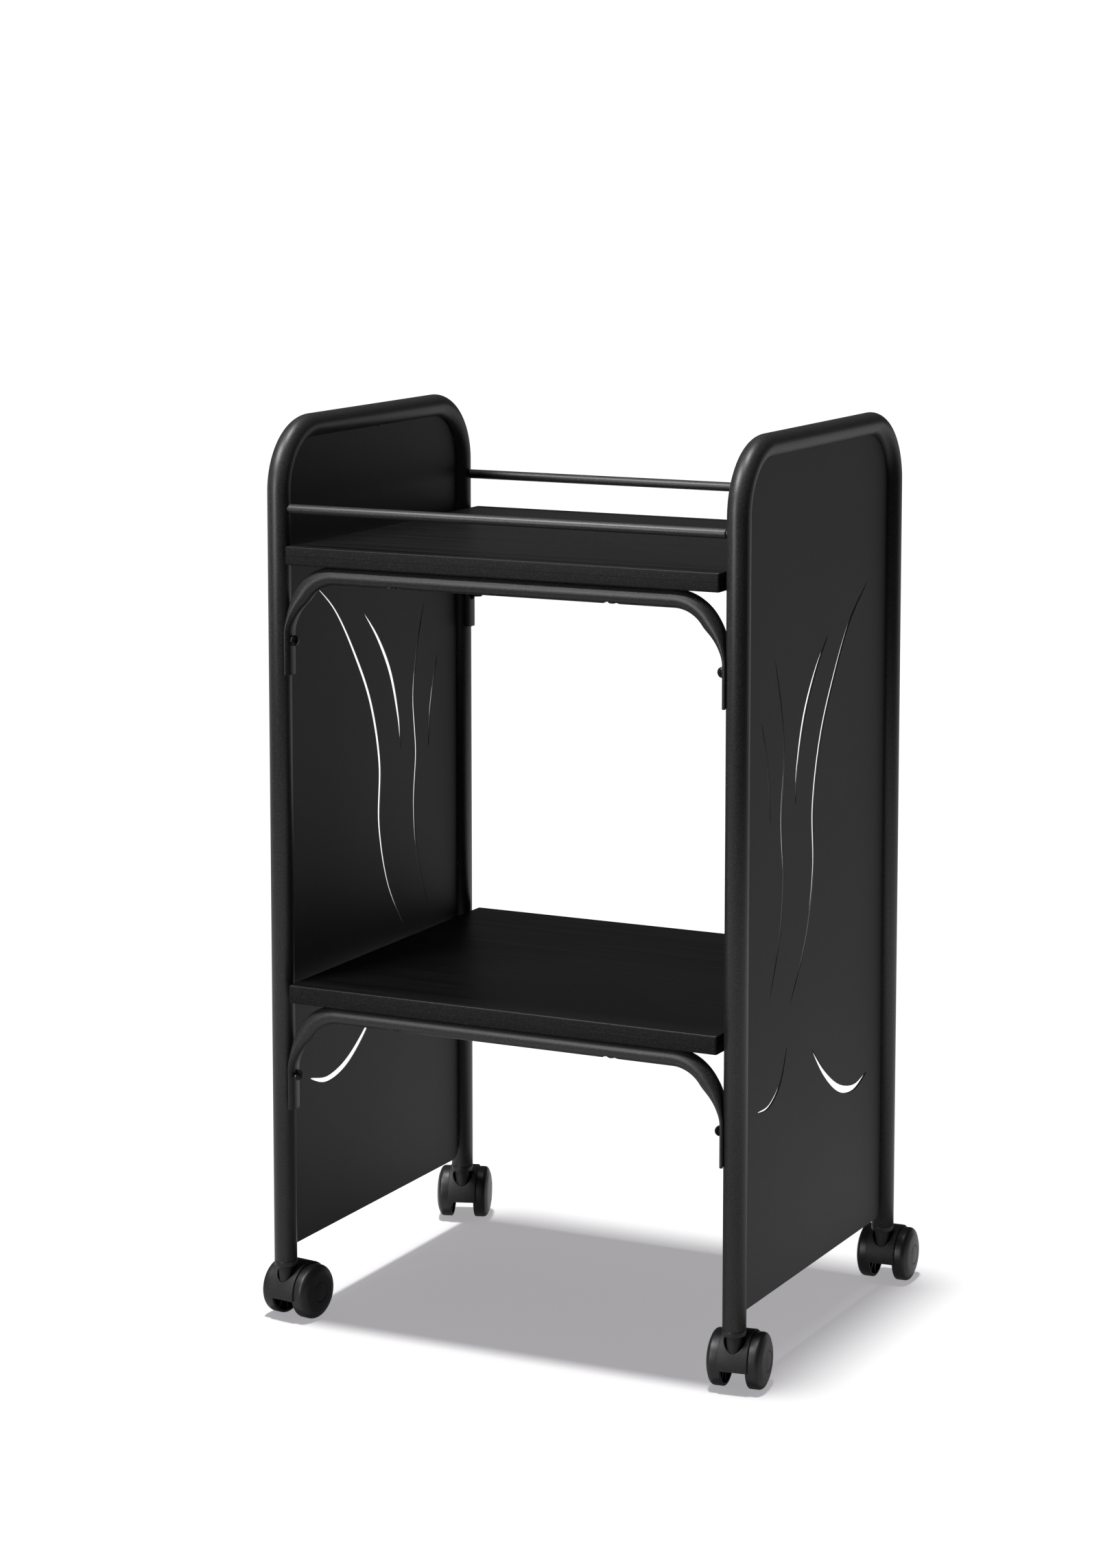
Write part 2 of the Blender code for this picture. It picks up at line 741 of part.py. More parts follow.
def wheel_mesh():
    """A hollow wheel along +X with a domed face; its pocket for the hub cap is open outwards."""
    rim = WHEEL_R - WHEEL_WALL
    face = WHEEL_FACE + WHEEL_WIDTH
    pocket = face - 2.2 * MM
    bore = running_bore(AXLE_R, CASTER_STEPS)
    profile = [
        (rim, WHEEL_FACE),
        (WHEEL_R - 0.9 * MM, WHEEL_FACE),
        (WHEEL_R, WHEEL_FACE + 1.2 * MM),
        (WHEEL_R, face - 5.6 * MM),
        (WHEEL_R - 1.2 * MM, face - 3.6 * MM),
        (0.72 * WHEEL_R, face - 1.2 * MM),
        (CAP_R + GAP, face - 0.2 * MM),
        (CAP_R + GAP, pocket),
        (bore, pocket),
        (bore, WHEEL_FACE),
        (WHEEL_HUB_R, WHEEL_FACE),
        (WHEEL_HUB_R, face - 6.0 * MM),
        (rim, face - 6.8 * MM),
    ]
    return turned(profile[::-1], CASTER_STEPS, closed=True)


def cap_mesh():
    face = WHEEL_FACE + WHEEL_WIDTH
    low = face - 2.2 * MM + GAP
    profile = [(0, face), (CAP_R, face - CAP_SET), (CAP_R, low), (0, low)]
    return turned(profile, CASTER_STEPS)


def axle_mesh():
    """A plain pin through the hood and both wheels; it ends short of the hub caps."""
    end = WHEEL_FACE + WHEEL_WIDTH - 2.2 * MM - GAP
    mesh = cylinder(AXLE_R, (0, 0, -end), (0, 0, end), BORE_SIDES)
    return along_x(mesh, AXLE_CENTRE)


def socket_mesh():
    """Plastic insert: a collar that the tube stands on and a sleeve up inside the tube."""
    sleeve_r = TUBE_R - TUBE_WALL - 2 * GAP
    top = TUBE_FOOT_Z + SOCKET_DEPTH
    collar_top = COLLAR_Z + COLLAR_H
    hole = running_bore(STEM_R, TUBE_SIDES)
    profile = [
        (hole, top),
        (sleeve_r - 1 * MM, top),
        (sleeve_r, top - 2 * MM),
        (sleeve_r, collar_top),
        (TUBE_R, collar_top),
        (TUBE_R, COLLAR_Z + 0.5 * MM),
        (TUBE_R - 0.5 * MM, COLLAR_Z),
        (hole, COLLAR_Z),
    ]
    return turned(profile, TUBE_SIDES, closed=True)


def caster(corner):
    row, side = corner.split("_")
    post = Matrix.Translation((SIDE_X[side], POST_Y[row], 0))
    socket = put(f"{corner}_caster_socket", socket_mesh(), CASTER_BLACK, post)
    foot = NECK_TOP_Z - STEM_BITE
    stem = cylinder(STEM_R, (0, 0, foot), (0, 0, foot + STEM_LENGTH), BORE_SIDES)
    put(f"{corner}_caster_stem", stem, BARE_STEEL, post)

    swivel = bpy.data.objects.new(f"{corner}_swivel_axis", None)
    swivel.matrix_world = post @ Matrix.Rotation(SWIVEL_AT_REST[corner], 4, "Z")
    TROLLEY.objects.link(swivel)
    put(f"{corner}_caster_housing", housing_mesh(), HOOD_BLACK, None, swivel)
    put(f"{corner}_caster_axle", axle_mesh(), BARE_STEEL, None, swivel)

    for hand, turn in (("left", -pi / 2), ("right", pi / 2)):
        spin = bpy.data.objects.new(f"{corner}_{hand}_wheel_axis", None)
        spin.parent = swivel
        spin.matrix_local = Matrix.Translation(AXLE_CENTRE) @ Matrix.Rotation(turn, 4, "Y")
        TROLLEY.objects.link(spin)
        put(f"{corner}_{hand}_wheel", wheel_mesh(), CASTER_BLACK, None, spin)
        put(f"{corner}_{hand}_hub_cap", cap_mesh(), CASTER_BLACK, None, spin)
    return socket


for frame_side in SIDE_X:
    side_frame(frame_side)
side_panels()
for shelf_level in SHELF_TOP_Z:
    shelf(shelf_level)
    for bracket_row in POST_Y:
        bracket(bracket_row, shelf_level)
for rail_row in POST_Y:
    guard_rail(rail_row)
leg_screws()
shelf_screws()
for corner_name in SWIVEL_AT_REST:
    caster(corner_name)
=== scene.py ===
import json
from math import cos, pi, radians, sin, tan

import bmesh
import bpy
from mathutils import Matrix, Vector


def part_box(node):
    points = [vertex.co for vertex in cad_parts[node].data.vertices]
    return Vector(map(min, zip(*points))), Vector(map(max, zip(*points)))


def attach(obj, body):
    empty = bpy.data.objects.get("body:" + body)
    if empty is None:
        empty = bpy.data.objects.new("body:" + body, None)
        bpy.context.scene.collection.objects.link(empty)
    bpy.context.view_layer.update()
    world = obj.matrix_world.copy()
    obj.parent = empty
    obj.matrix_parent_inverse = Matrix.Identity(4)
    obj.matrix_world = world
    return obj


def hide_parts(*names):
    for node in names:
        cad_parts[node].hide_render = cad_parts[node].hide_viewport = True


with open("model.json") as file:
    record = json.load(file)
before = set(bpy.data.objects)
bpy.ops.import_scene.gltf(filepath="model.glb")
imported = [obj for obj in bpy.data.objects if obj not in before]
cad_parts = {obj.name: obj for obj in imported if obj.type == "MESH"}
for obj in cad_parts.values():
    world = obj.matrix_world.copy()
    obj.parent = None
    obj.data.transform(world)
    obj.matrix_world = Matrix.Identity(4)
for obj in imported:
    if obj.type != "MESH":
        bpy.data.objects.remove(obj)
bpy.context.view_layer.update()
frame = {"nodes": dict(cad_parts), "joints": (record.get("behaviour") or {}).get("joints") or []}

MM = 0.001


# The room: a seamless pale floor in a dim studio with a white view behind. A soft key drops the shadow
# straight down, and a softbox and a strip light only the trolley. The floor that the trolley sees has
# painted light and shade: it is dimmer than the floor itself, most of all in front and far off, so that
# its black keeps its depth, and it has a faint painted glow.

FLOOR_HALF = 60.0
FLOOR_TONE = (0.90, 0.895, 0.895)
FLOOR_GLOW = 0.385
FLOOR_GLOW_TONE = (0.905, 0.885, 0.915)
FLOOR_BOUNCE_GLOW = 0.14
# Painted light on the floor as the trolley sees it: a place along the way or a distance, and the tone there.
FLOOR_SEEN_WAY = (-0.45, 1.0, 0.0)
FLOOR_SEEN_FRONT = (-0.6, 0.05)
FLOOR_SEEN_BEHIND = (1.1, 0.68)
FLOOR_SEEN_NEAR = (0.45, 0.60)
FLOOR_SEEN_FAR = (1.10, 0.0)
SURROUNDINGS_TONE = (0.063, 0.062, 0.063)
SEEN_WHITE = (1.0, 1.0, 1.0)
SEEN_GLOW = 1.1
KEY_ENERGY = 2.35
KEY_ANGLE = radians(6.5)
KEY_LEAN = (radians(2.0), radians(-2.5))
# Each softbox: name, place, what it points at, width, height, watts.
SOFTBOXES = (
    ("front_left_softbox", (-1.35, -2.1, 3.4), (0.0, 0.0, 0.45), 1.2, 1.2, 150.0),
    ("front_strip", (-0.85, -2.5, 0.85), (0.0, 0.0, 0.42), 0.4, 1.3, 30.0),
)
CAMERA_PLACE = (1.4588, -3.0046, 1.0804)
CAMERA_TURN = radians(26.494)
CAMERA_TIP = radians(7.437)
CAMERA_LENS = 88.373
CAMERA_SENSOR = 36.0
CAMERA_SHIFT_Y = -0.1282


def node(tree, kind, values=None, **settings):
    """Adds a node; a value that is a socket is linked to its input, any other value is set on it."""
    made = tree.nodes.new(kind)
    for key, value in settings.items():
        setattr(made, key, value)
    for key, value in (values or {}).items():
        if isinstance(value, bpy.types.NodeSocket):
            tree.links.new(value, made.inputs[key])
        else:
            made.inputs[key].default_value = value
    return made


def linked(name, data):
    """A new object in the scene."""
    obj = bpy.data.objects.new(name, data)
    bpy.context.scene.collection.objects.link(obj)
    return obj


def worked(tree, operation, *terms):
    """The result of a sum on one to three terms."""
    return node(tree, "ShaderNodeMath", dict(enumerate(terms)), operation=operation).outputs[0]


def ranged(tree, value, start, end, **settings):
    """A value mapped from a start to an end, which are each a pair of (from, to)."""
    ends = {"From Min": start[0], "From Max": end[0], "To Min": start[1], "To Max": end[1]}
    return node(tree, "ShaderNodeMapRange", {"Value": value, **ends}, **settings).outputs[0]


def finish_named(name, roughness, colour=(0.8, 0.8, 0.8)):
    """A new material with a plain shader, whose tree the caller adds to."""
    material = bpy.data.materials.new(name)
    material.use_nodes = True
    shader = material.node_tree.nodes["Principled BSDF"]
    shader.inputs["Base Color"].default_value = (*colour, 1.0)
    shader.inputs["Roughness"].default_value = roughness
    return material, material.node_tree, shader


floor_paper, floor_tree, floor_shader = finish_named("studio_paper", 0.9, FLOOR_TONE)
floor_shader.inputs["Specular IOR Level"].default_value = 0.0
floor_shader.inputs["Emission Color"].default_value = (*FLOOR_GLOW_TONE, 1.0)
floor_shader.inputs["Emission Strength"].default_value = FLOOR_GLOW
floor_where = node(floor_tree, "ShaderNodeTexCoord").outputs["Object"]
floor_far = node(floor_tree, "ShaderNodeVectorMath", {0: floor_where}, operation="LENGTH")
floor_along = {0: floor_where, 1: FLOOR_SEEN_WAY}
floor_depth = node(floor_tree, "ShaderNodeVectorMath", floor_along, operation="DOT_PRODUCT")
# Painted light and shade on the floor, for the trolley's rays only: lighter behind and near, darker in front
# and far off.
floor_painted_light = worked(
    floor_tree,
    "ADD",
    *(
        ranged(floor_tree, measure.outputs["Value"], start, end, interpolation_type="SMOOTHSTEP")
        for measure, start, end in (
            (floor_depth, FLOOR_SEEN_FRONT, FLOOR_SEEN_BEHIND),
            (floor_far, FLOOR_SEEN_NEAR, FLOOR_SEEN_FAR),
        )
    ),
)
floor_matt = node(floor_tree, "ShaderNodeBsdfDiffuse", {"Color": floor_painted_light})
# A faint painted glow of the floor in that same tone, which only the trolley sees.
floor_lit = node(floor_tree, "ShaderNodeEmission", {"Color": floor_painted_light, "Strength": FLOOR_BOUNCE_GLOW})
floor_bounce = node(floor_tree, "ShaderNodeAddShader", {0: floor_matt.outputs[0], 1: floor_lit.outputs[0]})
floor_seen = node(floor_tree, "ShaderNodeLightPath").outputs["Is Camera Ray"]
floor_mix = node(
    floor_tree,
    "ShaderNodeMixShader",
    {0: floor_seen, 1: floor_bounce.outputs[0], 2: floor_shader.outputs[0]},
)
floor_tree.links.new(floor_mix.outputs[0], floor_tree.nodes["Material Output"].inputs["Surface"])
floor_mesh = bpy.data.meshes.new("studio_floor")
corners = ((-1, -1), (1, -1), (1, 1), (-1, 1))
floor_mesh.from_pydata([(x * FLOOR_HALF, y * FLOOR_HALF, 0.0) for x, y in corners], [], [(0, 1, 2, 3)])
floor_mesh.materials.append(floor_paper)
floor = linked("studio_floor", floor_mesh)
kept_dark = bpy.data.collections.new("not_lit_by_softboxes")
kept_dark.objects.link(floor)
kept_dark.collection_objects[0].light_linking.link_state = "EXCLUDE"

world = bpy.data.worlds.new("white_studio")
world.use_nodes = True
bpy.context.scene.world = world
sky = world.node_tree
unseen = sky.nodes["Background"]
unseen.inputs["Color"].default_value = (*SURROUNDINGS_TONE, 1.0)
seen = node(sky, "ShaderNodeBackground", {"Color": (*SEEN_WHITE, 1.0), "Strength": SEEN_GLOW})
ray = node(sky, "ShaderNodeLightPath")
either = node(sky, "ShaderNodeMixShader", {0: ray.outputs["Is Camera Ray"], 1: unseen.outputs[0]})
sky.links.new(seen.outputs[0], either.inputs[2])
sky.links.new(either.outputs[0], sky.nodes["World Output"].inputs["Surface"])

key = bpy.data.lights.new("soft_key", "SUN")
key.energy = KEY_ENERGY
key.angle = KEY_ANGLE
linked("soft_key", key).rotation_euler = (*KEY_LEAN, 0.0)

for box_name, place, aim, width, height, watts in SOFTBOXES:
    lamp = bpy.data.lights.new(box_name, "AREA")
    lamp.shape = "RECTANGLE"
    lamp.size = width
    lamp.size_y = height
    lamp.energy = watts
    lamp_object = linked(box_name, lamp)
    lamp_object.location = place
    lamp_object.rotation_euler = (Vector(aim) - Vector(place)).to_track_quat("-Z", "Y").to_euler()
    lamp_object.light_linking.receiver_collection = kept_dark

camera = bpy.data.cameras.new("photographer")
camera.lens = CAMERA_LENS
camera.sensor_width = CAMERA_SENSOR
camera.shift_y = CAMERA_SHIFT_Y
camera.clip_end = 200.0
camera_object = linked("photographer", camera)
camera_object.location = CAMERA_PLACE
camera_object.rotation_euler = (pi / 2 - CAMERA_TIP, 0.0, CAMERA_TURN)
bpy.context.scene.camera = camera_object
bpy.context.scene.view_settings.view_transform = "Standard"


# Side frames: each is one length of round steel tube bent to an inverted U, open at both feet, with
# a fine satin black powder coat. The posts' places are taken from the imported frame.

FRAME_LOW, FRAME_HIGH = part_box("left_side_frame")
TUBE_R = 10 * MM
TUBE_WALL = 1.2 * MM
FRAME_BEND_R = 54 * MM
TUBE_SIDES = 56
BEND_STEPS = 28
SIDE_X = {"left": FRAME_LOW.x + TUBE_R, "right": -FRAME_LOW.x - TUBE_R}
POST_Y = {"front": FRAME_LOW.y + TUBE_R, "rear": FRAME_HIGH.y - TUBE_R}
MID_Y = (POST_Y["front"] + POST_Y["rear"]) / 2
TUBE_FOOT_Z = FRAME_LOW.z
FRAME_TOP_Z = FRAME_HIGH.z - TUBE_R
SMOOTH_BELOW = radians(33)
WELD_WITHIN = 0.002 * MM
GRAIN_HEIGHT = 0.12 * MM


def scaled(tree, vector, share):
    """A vector or a colour times a share."""
    return node(tree, "ShaderNodeVectorMath", {0: vector, "Scale": share}, operation="SCALE").outputs[0]


def shader_group(name, inputs, outputs):
    """A shader node group from (socket kind, label, default) inputs and (kind, label) outputs."""
    group = bpy.data.node_groups.new(name, "ShaderNodeTree")
    for kind, label, value in inputs:
        socket = group.interface.new_socket(label, in_out="INPUT", socket_type="NodeSocket" + kind)
        if value is not None:
            socket.default_value = value
    for kind, label in outputs:
        group.interface.new_socket(label, in_out="OUTPUT", socket_type="NodeSocket" + kind)
    return group, group.nodes.new("NodeGroupInput"), group.nodes.new("NodeGroupOutput")


# Faint cloudy variation that every handled surface has: in a colour and in a roughness.
CLOUDS, cloud_in, cloud_out = shader_group(
    "handled_surface",
    [
        ("Vector", "Vector", None),
        ("Color", "Colour", (0.03, 0.03, 0.03, 1)),
        ("Float", "Roughness", 0.45),
        ("Float", "Cloud size", 14.0),
        ("Float", "Cloud depth", 0.12),
        ("Float", "Smudges", 0.05),
    ],
    [("Color", "Colour"), ("Float", "Roughness")],
)
clouds = node(
    CLOUDS,
    "ShaderNodeTexNoise",
    {"Vector": cloud_in.outputs["Vector"], "Scale": cloud_in.outputs["Cloud size"], "Detail": 4.0},
)
centred = worked(CLOUDS, "SUBTRACT", clouds.outputs["Fac"], 0.5)
deep = worked(CLOUDS, "MULTIPLY_ADD", centred, cloud_in.outputs["Cloud depth"], 1.0)
tinted = scaled(CLOUDS, cloud_in.outputs["Colour"], deep)
smudges = (cloud_in.outputs["Smudges"], cloud_in.outputs["Roughness"])
smudged = worked(CLOUDS, "MULTIPLY_ADD", centred, *smudges)
CLOUDS.links.new(tinted, cloud_out.inputs["Colour"])
CLOUDS.links.new(smudged, cloud_out.inputs["Roughness"])

# Sprayed and baked powder: salt-and-pepper flecks of lighter grain, and the relief that they make.
POWDER, powder_in, powder_out = shader_group(
    "powder_grain",
    [
        ("Vector", "Vector", None),
        ("Color", "Colour", (0.03, 0.03, 0.03, 1)),
        ("Color", "Fleck", (0.09, 0.09, 0.09, 1)),
        ("Float", "Grain", 1500.0),
        ("Float", "Flecks", 0.5),
        ("Float", "Relief", 0.25),
    ],
    [("Color", "Colour"), ("Vector", "Normal")],
)
grain = node(
    POWDER,
    "ShaderNodeTexNoise",
    {
        "Vector": powder_in.outputs["Vector"],
        "Scale": powder_in.outputs["Grain"],
        "Detail": 2.0,
        "Roughness": 0.7,
    },
)
fleck_mask = ranged(POWDER, grain.outputs["Fac"], (0.5, 0.0), (0.72, 1.0))
fleck_share = worked(POWDER, "MULTIPLY", fleck_mask, powder_in.outputs["Flecks"])
flecked = node(POWDER, "ShaderNodeMix", {0: fleck_share}, data_type="RGBA")
POWDER.links.new(powder_in.outputs["Colour"], flecked.inputs[6])
POWDER.links.new(powder_in.outputs["Fleck"], flecked.inputs[7])
powder_relief = {"Height": grain.outputs["Fac"], "Strength": powder_in.outputs["Relief"]}
powder_bump = node(POWDER, "ShaderNodeBump", {**powder_relief, "Distance": GRAIN_HEIGHT})
POWDER.links.new(flecked.outputs[2], powder_out.inputs["Colour"])
POWDER.links.new(powder_bump.outputs[0], powder_out.inputs["Normal"])


def coated(
    name, colour, fleck, roughness, grain_scale, flecks, relief, cloud_size=14.0, metallic=0.0, specular=0.5
):
    """A material with the powder grain over the cloudy variation, on object coordinates."""
    material, tree, shader = finish_named(name, roughness, colour)
    shader.inputs["Metallic"].default_value = metallic
    shader.inputs["Specular IOR Level"].default_value = specular
    where = node(tree, "ShaderNodeTexCoord").outputs["Object"]
    handled = node(
        tree,
        "ShaderNodeGroup",
        {"Vector": where, "Colour": (*colour, 1), "Roughness": roughness, "Cloud size": cloud_size},
        node_tree=CLOUDS,
    )
    powder = {"Fleck": (*fleck, 1), "Grain": grain_scale, "Flecks": flecks, "Relief": relief}
    sprayed = node(
        tree,
        "ShaderNodeGroup",
        {"Vector": where, "Colour": handled.outputs["Colour"], **powder},
        node_tree=POWDER,
    )
    tree.links.new(sprayed.outputs["Colour"], shader.inputs["Base Color"])
    tree.links.new(handled.outputs["Roughness"], shader.inputs["Roughness"])
    tree.links.new(sprayed.outputs["Normal"], shader.inputs["Normal"])
    return material


def geometry_tree(name, inputs):
    """A geometry node tree with named inputs: (socket kind, label, default)."""
    tree = bpy.data.node_groups.new(name, "GeometryNodeTree")
    tree.interface.new_socket("Geometry", in_out="INPUT", socket_type="NodeSocketGeometry")
    for kind, label, value in inputs:
        socket = tree.interface.new_socket(label, in_out="INPUT", socket_type="NodeSocket" + kind)
        if value is not None:
            socket.default_value = value
    tree.interface.new_socket("Geometry", in_out="OUTPUT", socket_type="NodeSocketGeometry")
    return tree, tree.nodes.new("NodeGroupInput"), tree.nodes.new("NodeGroupOutput")


def end_tree(tree, leave, made, paint):
    """Ends a geometry tree: real geometry, smooth, in the material of its Paint input."""
    real = node(tree, "GeometryNodeRealizeInstances", {"Geometry": made})
    smooth = node(tree, "GeometryNodeSetShadeSmooth", {"Geometry": real.outputs[0]})
    dressed = node(tree, "GeometryNodeSetMaterial", {"Geometry": smooth.outputs[0], "Material": paint})
    tree.links.new(dressed.outputs[0], leave.inputs[0])


def baked(obj):
    """The evaluated mesh of a scratch object, which is then removed."""
    bpy.context.view_layer.update()
    graph = bpy.context.evaluated_depsgraph_get()
    mesh = bpy.data.meshes.new_from_object(obj.evaluated_get(graph))
    bpy.data.objects.remove(obj, do_unlink=True)
    return mesh


def grown(tree, start, **values):
    """The plain mesh that a geometry tree grows from a start mesh, its inputs set by their labels."""
    obj = linked("grown", start)
    modifier = obj.modifiers.new("Grow", "NODES")
    modifier.node_group = tree
    for item in tree.interface.items_tree:
        if item.in_out == "INPUT" and item.name in values:
            modifier[item.identifier] = values[item.name]
    return baked(obj)


def shown(name, mesh, paint=None, sharp=SMOOTH_BELOW):
    """A visible piece with its place in its mesh, welded, with its faces pointing out."""
    bm = bmesh.new()
    bm.from_mesh(mesh)
    bmesh.ops.remove_doubles(bm, verts=bm.verts, dist=WELD_WITHIN)
    bmesh.ops.recalc_face_normals(bm, faces=bm.faces)
    bm.to_mesh(mesh)
    bm.free()
    if paint is not None:
        mesh.materials.clear()
        mesh.materials.append(paint)
    mesh.shade_smooth()
    mesh.set_sharp_from_angle(angle=sharp)
    return linked(name, mesh)


FRAME_PAINT = coated(
    "frame_powder_coat", (0.011, 0.011, 0.0115), (0.080, 0.080, 0.080), 0.42, 1300.0, 0.62, 0.40
)

BENT_TUBE, bent_in, bent_out = geometry_tree(
    "bent_tube",
    [
        ("Float", "Bend radius", FRAME_BEND_R),
        ("Int", "Bend steps", BEND_STEPS),
        ("Float", "Tube radius", TUBE_R),
        ("Int", "Sides", TUBE_SIDES),
        ("Material", "Paint", None),
    ],
)
corner_line = node(BENT_TUBE, "GeometryNodeMeshToCurve", {"Mesh": bent_in.outputs["Geometry"]})
bend = {"Count": bent_in.outputs["Bend steps"], "Radius": bent_in.outputs["Bend radius"]}
bends = node(
    BENT_TUBE, "GeometryNodeFilletCurve", {"Curve": corner_line.outputs[0], **bend}, mode="POLY"
)
tube_section = {"Resolution": bent_in.outputs["Sides"], "Radius": bent_in.outputs["Tube radius"]}
tube_round = node(BENT_TUBE, "GeometryNodeCurvePrimitiveCircle", tube_section)
tube_sweep = {"Curve": bends.outputs[0], "Profile Curve": tube_round.outputs[0]}
swept = node(BENT_TUBE, "GeometryNodeCurveToMesh", tube_sweep)
end_tree(BENT_TUBE, bent_out, swept.outputs[0], bent_in.outputs["Paint"])

for side, x in SIDE_X.items():
    path = bpy.data.meshes.new("frame_path")
    front, rear = POST_Y["front"], POST_Y["rear"]
    places = [
        (x, front, TUBE_FOOT_Z),
        (x, front, FRAME_TOP_Z),
        (x, rear, FRAME_TOP_Z),
        (x, rear, TUBE_FOOT_Z),
    ]
    path.from_pydata(places, [(0, 1), (1, 2), (2, 3)], [])
    side_tube = shown(f"{side}_bent_tube", grown(BENT_TUBE, path, Paint=FRAME_PAINT))
    wall = side_tube.modifiers.new("Wall", "SOLIDIFY")
    wall.thickness = TUBE_WALL
    wall.offset = -1
    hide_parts(f"{side}_side_frame")
    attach(side_tube, "root")


# Side panels: 1.5 mm sheet cut to the inside of the tube, with a motif of tapered reed blades cut
# right through it. Both are one part, and the right one is turned half round.

PANEL_LOW, PANEL_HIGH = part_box("left_side_panel")
PANEL_THICK = PANEL_HIGH.x - PANEL_LOW.x
PANEL_HALF_Y = (PANEL_HIGH.y - PANEL_LOW.y) / 2
PANEL_FOOT_Z = PANEL_LOW.z
PANEL_TOP_Z = PANEL_HIGH.z
PANEL_BEND_R = FRAME_BEND_R - TUBE_R
PANEL_CORNER_R = 10 * MM
PANEL_EDGE_R = 0.2 * MM
PANEL_REACH = 0.3 * MM
PANEL_SHARP = radians(12)
PANEL_ARC_STEPS = 18
BLADE_STEPS = 10
# Each blade: its widest width, and points as shares of the panel's half width and of its height.
REED_BLADES = (
    (
        5.0 * MM,
        ((-0.71, 0.82), (-0.46, 0.78), (-0.24, 0.72), (-0.05, 0.65), (0.05, 0.57), (0.04, 0.49))
        + ((0.14, 0.41), (0.35, 0.34)),
    ),
    (5.5 * MM, ((-0.14, 0.77), (0.04, 0.73), (0.19, 0.68), (0.28, 0.62), (0.30, 0.58))),
    (
        3.4 * MM,
        ((0.59, 0.76), (0.50, 0.70), (0.46, 0.64), (0.49, 0.57), (0.46, 0.50), (0.50, 0.43))
        + ((0.63, 0.36),),
    ),
    (2.8 * MM, ((0.76, 0.69), (0.70, 0.65), (0.66, 0.61), (0.64, 0.57))),
    (6.5 * MM, ((0.04, 0.27), (-0.15, 0.23), (-0.37, 0.20), (-0.59, 0.19), (-0.78, 0.20))),
    (3.0 * MM, ((0.39, 0.29), (0.48, 0.25), (0.63, 0.23), (0.79, 0.23))),
)
PANEL_PAINT = coated(
    "panel_powder_coat", (0.016, 0.016, 0.0165), (0.055, 0.055, 0.055), 0.60, 1300.0, 0.40, 0.22, 6.0
)


def arc(centre, radius, start, end, steps):
    """Points of an arc in a plane, both ends included."""
    angles = [start + (end - start) * i / steps for i in range(steps + 1)]
    return [(centre[0] + radius * cos(a), centre[1] + radius * sin(a)) for a in angles]


def smooth_line(points, steps):
    """Points of a curve that runs smoothly through the given ones."""
    ends = [points[0]] + list(points) + [points[-1]]
    line = []
    for a, b, c, d in zip(ends, ends[1:], ends[2:], ends[3:]):
        for i in range(steps):
            t = i / steps
            square, cube = (2 * a - 5 * b + 4 * c - d) * t * t, (3 * b - a - 3 * c + d) * t**3
            line.append((2 * b + (c - a) * t + square + cube) / 2)
    return line + [points[-1]]


def blade(width, shares):
    """Outline of one reed blade, which tapers to a point at both ends."""
    height = PANEL_TOP_Z - PANEL_FOOT_Z
    line = smooth_line(
        [Vector((y * PANEL_HALF_Y, PANEL_FOOT_Z + z * height)) for y, z in shares], BLADE_STEPS
    )
    left, right = [], []
    for i in range(1, len(line) - 1):
        along = (line[i + 1] - line[i - 1]).normalized()
        half = width / 2 * sin(pi * i / (len(line) - 1)) ** 0.8
        across = Vector((-along.y, along.x)) * half
        left.append(line[i] + across)
        right.append(line[i] - across)
    return [tuple(p) for p in [line[0]] + left + [line[-1]] + right[::-1]]


def panel_edge():
    """Edge of a side panel in (distance from the middle, height above the floor)."""
    half, top, foot = PANEL_HALF_Y + PANEL_REACH, PANEL_TOP_Z + PANEL_REACH, PANEL_FOOT_Z
    bend, low = PANEL_BEND_R, PANEL_CORNER_R
    return (
        arc((half - low, foot + low), low, -pi / 2, 0, PANEL_ARC_STEPS // 2)
        + arc((half - bend, top - bend), bend, 0, pi / 2, PANEL_ARC_STEPS)
        + arc((bend - half, top - bend), bend, pi / 2, pi, PANEL_ARC_STEPS)
        + arc((low - half, foot + low), low, pi, 1.5 * pi, PANEL_ARC_STEPS // 2)
    )


def turned_way(outline, clockwise):
    """The outline, run the way asked for."""
    area = sum(a[0] * b[1] - b[0] * a[1] for a, b in zip(outline, outline[1:] + outline[:1]))
    return outline if (area < 0) == clockwise else outline[::-1]


def cut_sheet(outlines, thickness, edge):
    """A flat plate in XY with softened edges: the first outline is its rim, the others its holes."""
    curve = bpy.data.curves.new("sheet", "CURVE")
    curve.dimensions = "2D"
    curve.fill_mode = "BOTH"
    curve.extrude = thickness / 2 - edge
    curve.bevel_depth = edge
    curve.bevel_resolution = 1
    curve.offset = -edge
    for i, outline in enumerate(outlines):
        spline = curve.splines.new("POLY")
        spline.points.add(len(outline) - 1)
        for point, (x, y) in zip(spline.points, turned_way(outline, i == 0)):
            point.co = (x, y, 0.0, 1.0)
        spline.use_cyclic_u = True
    return baked(linked("sheet", curve))


SHEET_UPRIGHT = Matrix(((0, 0, 1, 0), (1, 0, 0, 0), (0, 1, 0, 0), (0, 0, 0, 1)))
for side, turn in (("left", 0.0), ("right", pi)):
    outlines = [panel_edge()] + [blade(width, shares) for width, shares in REED_BLADES]
    sheet = cut_sheet(outlines, PANEL_THICK, PANEL_EDGE_R)
    place = Matrix.Translation((SIDE_X[side], MID_Y, 0)) @ Matrix.Rotation(turn, 4, "Z")
    sheet.transform(place @ SHEET_UPRIGHT)
    panel = shown(f"{side}_cut_panel", sheet, PANEL_PAINT, PANEL_SHARP)
    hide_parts(f"{side}_side_panel")
    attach(panel, "root")


# Weld tacks: short beads on the inner side, where the sheet's edge meets the tube, ground flat and
# coated with the frame. Each panel has one at the top, one near each bend, and three down each post.

